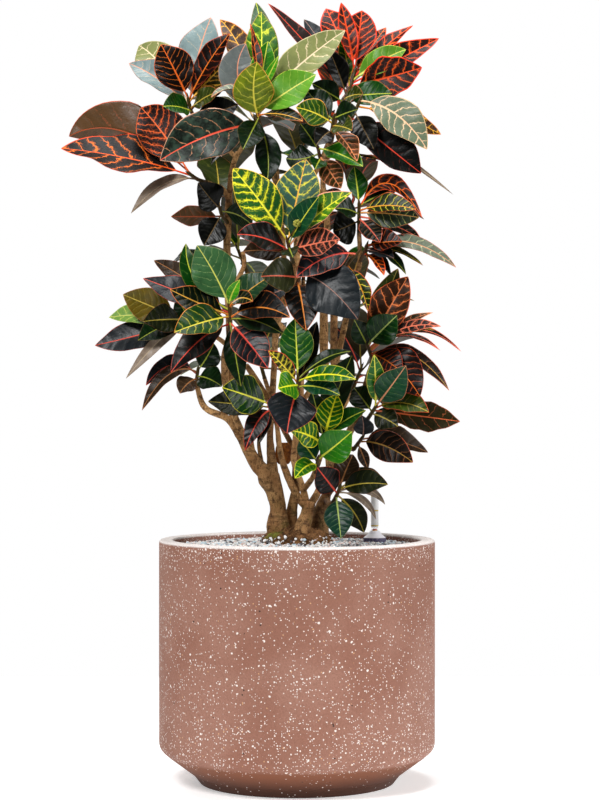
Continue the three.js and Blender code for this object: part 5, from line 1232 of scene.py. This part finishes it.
# A leaf of the table: its tip is found on the sheet, and it faces the eye but for its turn about its midrib.
def frontLeaf(foot, row, step, key):
    column, level, deeper, width, turn, rise, sway = [*row[1:], 0.0][:7]
    tip = onSheet(column, level, foot[1] + deeper + step[0])
    along = unit(tip - foot)
    toEye = unit(np.array([0.0, -1.0, 0.0]) + along * along[1])
    angle = math.radians(turn + step[1])
    face = toEye * math.cos(angle) + np.cross(along, toEye) * math.sin(angle)
    return leafBetween(foot, tip, face, width, rise, sway, key)


# A leaf behind: each points 137.5 degrees further round than the one below it, and higher, and faces up.
def backLeaf(foot, shoot, n, step, key):
    _, _, _, length, turn = shoot
    height = n / (backForm["leaves"] - 1)
    heading = math.radians(backForm["leafTurn"] * n + turn + backForm["azimuthPerStep"] * step[0])
    slope = backForm["lowest"] + (backForm["highest"] - backForm["lowest"]) * height
    slope = math.radians(slope + backForm["elevationPerStep"] * step[1])
    spread = 1 + backForm["lengthSpread"] * (2 * float(draw(key + 0.2)) - 1)
    length = length * (1 - backForm["topShortening"] * height) * spread
    flat = math.cos(slope)
    along = np.array([flat * math.cos(heading), flat * math.sin(heading), math.sin(slope)])
    face = unit(np.array([0.0, 0.0, 1.0]) - along * along[2])
    width = backForm["width"] + backForm["widthSpread"] * (2 * float(draw(key + 0.3)) - 1)
    return leafBetween(foot, foot + along * length, face, width, backForm["rise"], 0.0, key)


def probes(leaf):  # points of the solid leaf that tell where it stands: its tip and its margins
    stations = leafForm["narrowStations"] if leaf["width"] < leafForm["broad"] else leafForm["broadStations"]
    u = np.array(stations)
    place, up, side = ribAt(leaf, leafForm["petiole"] + (1 - leafForm["petiole"]) * u)
    half = (leaf["width"] / 2 * widthShare(u))[:, None]
    rows = [leaf["tip"][None]]
    for sign in (-1, 1):
        lift = half * math.sin(leaf["fold"]) + marginOffset(leaf, u, sign)[:, None]
        rows.append(place + side * sign * half * math.cos(leaf["fold"]) + up * lift)
    return np.concatenate(rows)


# The solid leaves stand clear of each other by small steps in depth and turn. The step of each is the one
# whose margins lie on the corners of the solid.
depthSteps = (0, 12, -12, 24, -24, 38, -38, 55, -55, 75, -75, 100)
turnSteps = (0, 16, -16, 32, -32, 50, -50)
leafSteps = [(depth, turn) for depth in depthSteps for turn in turnSteps]
leafSteps.sort(key=lambda step: abs(step[0]) + abs(step[1]))
leafFit = {"most": 3.0, "better": 1e-3, "close": 0.2}  # millimetres off, for one probe and for all


def fittedLeaf(make, tree):  # the leaf whose probes lie nearest to the solid's corners, and how far off they are
    best, bestGap = None, None
    for step in leafSteps:
        leaf = make(step)
        gap = sum(min(tree.find(Vector(point * mm))[2] / mm, leafFit["most"]) for point in probes(leaf))
        if bestGap is None or gap < bestGap - leafFit["better"]:
            best, bestGap = leaf, gap
        if gap < leafFit["close"]:
            break
    return best, bestGap


# A leaf as a closed shell. At share u of the blade and share t across it, the point is rib(u) + side R t cos(fold)
# + up (R sin(fold) |t|^1.15 + wave |t|^1.4 + ripple |t|^3 +- thickness sqrt(1-t^2)), and the petiole is the same
# shell with a small round section.
def leafShell(leaf):
    form = leafForm
    petiole = form["petiole"]
    petioleRows = np.linspace(0, petiole, form["petioleRows"])[:-1]
    turnBy = (np.arange(form["bladeRows"]) + 0.35) / (form["bladeRows"] - 0.2)
    u = (1 - np.cos(math.pi * turnBy)) / 2
    s = np.concatenate([petioleRows, petiole + (1 - petiole) * u])
    u = np.concatenate([(petioleRows - petiole) / (1 - petiole), u])
    place, up, side = ribAt(leaf, s)
    atPetiole = ribAt(leaf, [petiole])
    early = s < petiole
    up[early], side[early] = atPetiole[1][0], atPetiole[2][0]
    narrow = form["petioleRadius"] * (1 + 0.3 * np.clip(-u * 9, 0, 1)) * np.clip((1 - u) * 12, 0.15, 1)
    depth, count = leaf["lobes"]
    half = leaf["width"] / 2 * widthShare(u) * (1 - depth * (0.5 + 0.5 * np.cos(2 * math.pi * count * u)))
    half = np.where(early, narrow, np.maximum(half, narrow))[:, None]
    top = np.array(form["across"])
    t = np.concatenate([top, top[-2:0:-1]])[None]
    upper = np.concatenate([np.ones(len(top)), -np.ones(len(top) - 2)])[None]
    size, sign, bulge = np.abs(t), np.sign(t), np.sqrt(np.maximum(1 - t ** 2, 0))
    flatness = np.clip((half - form["petioleRadius"]) / 4, 0, 1)
    u = u[:, None]
    ridge = np.exp(-((half * t) / form["ribSpread"]) ** 2)
    ridgeSize = np.where(upper > 0, form["ribAbove"], form["ribBelow"]) * (1 - 0.75 * np.clip(u, 0, 1))
    thick = (form["blade"] * bulge + ridgeSize * ridge * bulge) * flatness
    thick = thick + narrow[:, None] * bulge * (1 - flatness)
    turns = form["ripples"] * u + 2.1 * leaf["phase"] + 0.5 * sign
    ripple = leaf["width"] * form["ripple"] * np.sin(2 * math.pi * turns) * np.sin(math.pi * np.clip(u, 0, 1))
    lift = half * math.sin(leaf["fold"]) * size ** form["foldCurve"] * np.where(early[:, None], 0, 1)
    lift = lift + marginOffset(leaf, u, sign) * size ** form["waveCurve"] + ripple * size ** 3 + upper * thick
    aside = side[:, None] * (half * t * math.cos(leaf["fold"]))[..., None]
    points = (place[:, None] + aside + up[:, None] * lift[..., None]).reshape(-1, 3)
    blade = leaf["length"] * (1 - petiole)
    own = np.stack([u * blade + 0 * t, half * t, half * (1 - size)], -1).reshape(-1, 3)
    points = np.concatenate([points, leaf["foot"][None], leaf["tip"][None]])
    own = np.concatenate([own, [[-10, 0, 1], [blade, 0, 0.3]]])
    under = np.concatenate([np.repeat(upper < 0, len(s), 0).reshape(-1), [False, False]])
    return points, *tubeFaces(len(s), t.shape[1]), own, under, blade


def addLeaf(parts, leaf, kind):
    leaf["lobes"] = leafLobes.get(kind, (0.0, 1.0))
    points, quads, fans, own, under, blade = leafShell(leaf)
    span = leafLook["lightest"] - leafLook["darkest"]
    shade = leafLook["darkest"] + span * float(draw(leaf["key"] + 0.7))
    tones, widths, habits = leafTones(kind)
    back = np.array(leafLook["back"][:3])
    values = {}
    for key, tone, weight in zip(toneNames, tones, leafLook["backShares"]):
        tone = tone * (shade if key in ("blade", "second") else leafLook["veinShade"])
        values[key] = np.where(under[:, None], tone * (1 - weight) + back * weight, tone)
    step = max(blade / leafForm["veinPairs"], leafForm["leastStep"])
    step = step * (1 - leafForm["stepSpread"] + 2 * leafForm["stepSpread"] * float(draw(leaf["key"] + 0.9)))
    measures = [step, float(draw(leaf["key"] + 0.1)), blade]
    parts.add(points, quads, fans, leafPlace=own, widths=widths, habits=habits, measures=measures, **values)


stemForm = {
    "radius": 3.3, "thinner": 0.8, "sides": 10, "spacing": 2.5, "bud": 5, "point": 4, "scar": 0.12,
    "stalkRadius": 1.2, "stalkSides": 8, "stalkRows": 6, "ballRows": 6, "ballSides": 8,
    "farFromRib": 400, "farFromEdge": 500,
}


def addPlain(parts, shell, kind, seed):  # a stem or a bud: the same surface, out of the veins' reach
    points, quads, fans = shell
    tones, widths, habits = leafTones(kind)
    own = points + [0, stemForm["farFromRib"], 0]
    own[:, 2] = stemForm["farFromEdge"]
    parts.add(
        points, quads, fans, leafPlace=own, widths=widths, habits=habits, measures=[8.0, seed, 100.0],
        **dict(zip(toneNames, tones)),
    )


def pointOn(path, share):
    along = share * (len(path) - 1)
    i = min(int(along), len(path) - 2)
    return path[i] + (path[i + 1] - path[i]) * (along - i)


# The green stem: from inside its limb to a pointed bud, with a ring at each old leaf.
def stemShell(path):
    end = path[-1] + unit(path[-1] - path[-2]) * stemForm["bud"]
    curve = smoothThrough(np.array([*path, end]), stemForm["spacing"])
    share = np.linspace(0, 1, len(curve))
    radius = (stemForm["radius"] - stemForm["thinner"] * share) * np.clip((1.02 - share) * 9, 0.45, 1)
    rings = np.maximum(np.sin(np.arange(len(curve)) * 1.7), 0)[:, None] ** 3
    relief = stemForm["scar"] * rings + np.zeros((1, stemForm["sides"]))
    return barShell(curve, radius, stemForm["sides"], relief, endLength=stemForm["point"])


def ballShell(centre, radius):
    angle = np.linspace(0, math.pi, stemForm["ballRows"] + 2)[:, None]
    profile = np.column_stack([radius * np.sin(angle), centre[2] - radius * np.cos(angle)])
    return turnedShell(profile, stemForm["ballSides"], centre[0], centre[1])


def cornersOf(name):  # the solid's corners, in a tree that finds the nearest
    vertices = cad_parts[name].data.vertices
    flat = np.empty(len(vertices) * 3, np.float32)
    vertices.foreach_get("co", flat)
    corners = np.unique(np.round(flat.reshape(-1, 3), 6), axis=0)
    tree = kdtree.KDTree(len(corners))
    for i, corner in enumerate(corners):
        tree.insert(corner, i)
    tree.balance()
    return tree


def addBud(parts, path, bud):  # a stalk with a ball of small flowers
    end = onSheet(*bud["stalkEnd"])
    foot = pointOn(path, leafForm["highestFoot"])
    rows = stemForm["stalkRows"]
    stalk = np.stack([foot * (1 - s) + end * s for s in np.linspace(0, 1, rows)])
    shell = barShell(stalk, np.full(rows, stemForm["stalkRadius"]), stemForm["stalkSides"])
    addPlain(parts, shell, "stem", 0.3)
    centre = end + [0, 0, bud["radius"] * 0.7]
    for i in range(bud["buds"]):
        height = 1 - 2 * (i + 0.5) / bud["buds"]
        turn = i * spiralTurn
        flatShare = math.sqrt(1 - height * height)
        outward = np.array([flatShare * math.cos(turn), flatShare * math.sin(turn), height])
        place = centre + outward * (bud["radius"] - bud["budRadius"])
        addPlain(parts, ballShell(place, bud["budRadius"]), "bud", i * 0.07)


# One shoot: makeLeaf gives leaf n from its foot, the small step that keeps it clear, and its own key.
def shootPiece(name, index, path, kinds, leafCount, makeLeaf, slot, bud=None):
    tree = cornersOf(name)
    parts = Parts()
    addPlain(parts, stemShell(path), "stem", index * 0.1)
    worst = 0.0
    for n in range(leafCount):
        key = 31 * index + n + 1
        share = leafForm["lowestFoot"] + (leafForm["highestFoot"] - leafForm["lowestFoot"]) * (n + 1) / leafCount
        foot = pointOn(path, share)
        leaf, gap = fittedLeaf(lambda step: makeLeaf(foot, n, step, key), tree)
        worst = max(worst, gap)
        addLeaf(parts, leaf, kinds[n])
    if bud:
        addBud(parts, path, bud)
    pieceName = "leaves" + "".join(word.capitalize() for word in name.replace("shoot_", "").split("_"))
    parts.piece(pieceName, surfaces[slot], slot, [name])
    print(f"{pieceName}: {leafCount} leaves, largest misfit {worst:.1f} mm")


surfaces = {key: leafMaterial(key.replace("_l", "L")) for key in sorted({slot for slot, _ in backKinds})}
for index, (name, shoot) in enumerate(frontShoots.items()):
    path = np.array([onSheet(*place) for place in shoot["stem"]])
    rows = shoot["leaves"]
    shootPiece(
        name, index, path, [row[0] for row in rows], len(rows),
        lambda foot, n, step, key: frontLeaf(foot, rows[n], step, key), shoot["slot"], shoot.get("bud"),
    )
for i, (shoot, (slot, kinds)) in enumerate(zip(backShoots, backKinds)):
    foot = np.array(shoot[:3], float)
    outward = (foot - backStemAt(foot[2])) * backForm["lean"]
    outward[2] = 1.0
    outward = unit(outward)
    path = np.array([foot, foot + outward * backForm["stemLength"] / 2, foot + outward * backForm["stemLength"]])
    shootPiece(
        f"shoot_back_{i + 1}", len(frontShoots) + i, path, kinds, backForm["leaves"],
        lambda base, n, step, key: backLeaf(base, shoot, n, step, key), slot,
    )
print("leaves made")


# Dry leaf: fallen between the limbs, curled and brown
dryLeaf = {
    "centre": [283.5, 454, 2], "halfWidth": 13.0, "halfHeight": 17.0, "thickness": 0.8, "rows": 23, "columns": 17,
    "curl": 5.0, "bow": 3.0, "crumple": 0.7, "fineCrumple": 0.35, "light": paint(190, 112, 34),
    "dark": paint(98, 50, 14), "cloudScale": 90.0, "roughness": 0.85, "bump": (0.6, 0.001),
}


# A curled plate: its width narrows to both ends, and its depth is curl u^2 + bow v^2 with small crumples.
def dryLeafPiece():
    middle = onSheet(*dryLeaf["centre"])
    v = np.linspace(-1, 1, dryLeaf["rows"])[:, None]
    u = np.linspace(-1, 1, dryLeaf["columns"])[None]
    width = dryLeaf["halfWidth"] * (1 - 0.25 * v ** 2) * (1 - 0.25 * v ** 8)
    crumple = dryLeaf["crumple"] * np.sin(5.2 * u + 2.1 * v) * np.cos(4.4 * v)
    crumple = crumple + dryLeaf["fineCrumple"] * np.sin(11 * v + 4 * u)
    depth = dryLeaf["curl"] * u ** 2 + dryLeaf["bow"] * v ** 2 + crumple + dryLeaf["thickness"]
    front = np.stack([width * u, depth, v * dryLeaf["halfHeight"] + 0 * u], -1)
    back = front + np.array([0, dryLeaf["thickness"], 0])
    rings = np.concatenate([front, back[:, ::-1]], 1)
    points = (rings + middle).reshape(-1, 3)
    poles = np.stack([rings[0].mean(0) + middle, rings[-1].mean(0) + middle])
    quads, fans = tubeFaces(dryLeaf["rows"], 2 * dryLeaf["columns"])
    return np.concatenate([points, poles]), quads, fans


def dryLeafMaterial():
    wire, finish = newMaterial("dryLeaf")
    place = wire.place()
    cloud = wire.noise(place, dryLeaf["cloudScale"], 5.0, 0.65)
    color = cloud.over(0.35, 0.65).blend(dryLeaf["dark"], dryLeaf["light"])
    return finish({
        "Base Color": color, "Roughness": dryLeaf["roughness"], "Normal": wire.bump(cloud, *dryLeaf["bump"]),
    })


makePiece("dryLeafPlate", dryLeafPiece(), dryLeafMaterial(), "dry_leaf", ["dry_leaf"])


# Water gauge: clear tube, flared collar, shaft and float
gauge = {
    "tubeRadius": 6.0, "tubeWall": 1.0, "tubeTop": 456.0, "tubeFoot": 388.35, "sides": 32, "sharpAngle": 40,
    "collar": [[4.8, 367], [18, 367], [18, 377], [10.9, 383], [7.4, 388], [4.8, 388]],
    "shaft": [[13, 46], [15, 46], [15, 366.65], [13, 366.65]],
    "float": [[0, 50], [10, 55], [10, 120], [3.6, 125], [3.6, 391], [0, 391]],
    "collarTone": paint(240, 238, 244), "collarDark": paint(70, 62, 94), "collarDust": paint(226, 224, 230),
    "darkBelow": (376.5, 378), "clear": paint(252, 252, 252), "clearBelow": (391, 397),
    "marks": [396.0, 420.0, 443.0], "mark": paint(206, 176, 60), "markHalf": (1.1, 0.7),
    "floatRed": paint(206, 34, 18), "floatGold": paint(232, 170, 50), "redAbove": (388.8, 389.4),
    "lightIndex": 1.45, "tubeSeen": (0.06, 0.5), "markSeen": 0.4, "smearSeen": 0.1, "tubeRough": 0.12,
    "collarRough": 0.42, "floatRough": 0.4, "smearScale": 60.0, "dustScale": 220.0, "paintScale": 150.0,
    "dustShare": 0.3, "goldShare": 0.2, "collarBump": (0.2, 0.0005),
}


def gaugeMaterials():
    wire, finish = newMaterial("clearTube")
    height = wire.place().part("Z") / mm
    mask = None
    for level in gauge["marks"]:
        line = abs(height - level).over(*gauge["markHalf"])
        mask = line if mask is None else mask.most(line)
    smear = wire.noise(wire.place(), gauge["smearScale"], 3.0)
    color = mask.blend(gauge["clear"], gauge["mark"])
    seen = height.over(*gauge["clearBelow"], *gauge["tubeSeen"]) + mask * gauge["markSeen"]
    clear = finish({
        "Base Color": color, "Roughness": gauge["tubeRough"] + smear * gauge["tubeRough"],
        "IOR": gauge["lightIndex"], "Alpha": seen + smear * gauge["smearSeen"],
    })
    wire, finish = newMaterial("greyCollar")
    place = wire.place()
    height = place.part("Z") / mm
    dust = wire.noise(place, gauge["dustScale"], 4.0, 0.7)
    color = height.over(*gauge["darkBelow"]).blend(gauge["collarDark"], gauge["collarTone"])
    color = (dust.over(0.5, 0.7) * gauge["dustShare"]).blend(color, gauge["collarDust"])
    collar = finish({
        "Base Color": color, "Roughness": gauge["collarRough"] + dust * 0.2,
        "Normal": wire.bump(dust, *gauge["collarBump"]),
    })
    wire, finish = newMaterial("redFloat")
    place = wire.place()
    height = place.part("Z") / mm
    cloud = wire.noise(place, gauge["paintScale"], 3.0)
    color = height.over(*gauge["redAbove"]).blend(gauge["floatGold"], gauge["floatRed"])
    color = (cloud.over(0.4, 0.7) * gauge["goldShare"]).blend(color, gauge["floatGold"])
    return clear, collar, finish({"Base Color": color, "Roughness": gauge["floatRough"] + cloud * 0.1})


clearTube, greyCollar, redFloat = gaugeMaterials()
outer, top, foot = gauge["tubeRadius"], gauge["tubeTop"], gauge["tubeFoot"]
inner, under = outer - gauge["tubeWall"], top - gauge["tubeWall"]
tube = [[0, under], [inner, under], [inner, foot], [outer, foot], [outer, top], [0, top]]
shell = turnedShell(rounded(tube, [2, 0.3, 0.3, 2.5], 4), gauge["sides"], gaugeX, gaugeY)
makePiece("gaugeTube", shell, clearTube, "gauge_tube", ["gauge_tube"])
for name, key in (("gaugeCollar", "collar"), ("gaugeShaft", "shaft")):
    profile = np.array(gauge[key] + gauge[key][:1], float)
    ring = rounded(np.concatenate([profile[-2:-1], profile, profile[1:2]]), [0.4] * len(profile), 3)[1:-1]
    shell = turnedShell(ring, gauge["sides"], gaugeX, gaugeY, ring=True)
    makePiece(name, shell, greyCollar, "gauge_grey", ["gauge_" + key], sharpAngle=gauge["sharpAngle"])
shell = turnedShell(rounded(gauge["float"], [1, 1.5, 1.5, 1], 3), gauge["sides"], gaugeX, gaugeY)
makePiece("gaugeFloat", shell, redFloat, "gauge_float", ["gauge_float"], sharpAngle=gauge["sharpAngle"])
print("gauge made")

sizes = {"cad": cadBox, "visual": [list(corner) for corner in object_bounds()]}
print("cad box", sizes["cad"])
print("visual box", sizes["visual"])
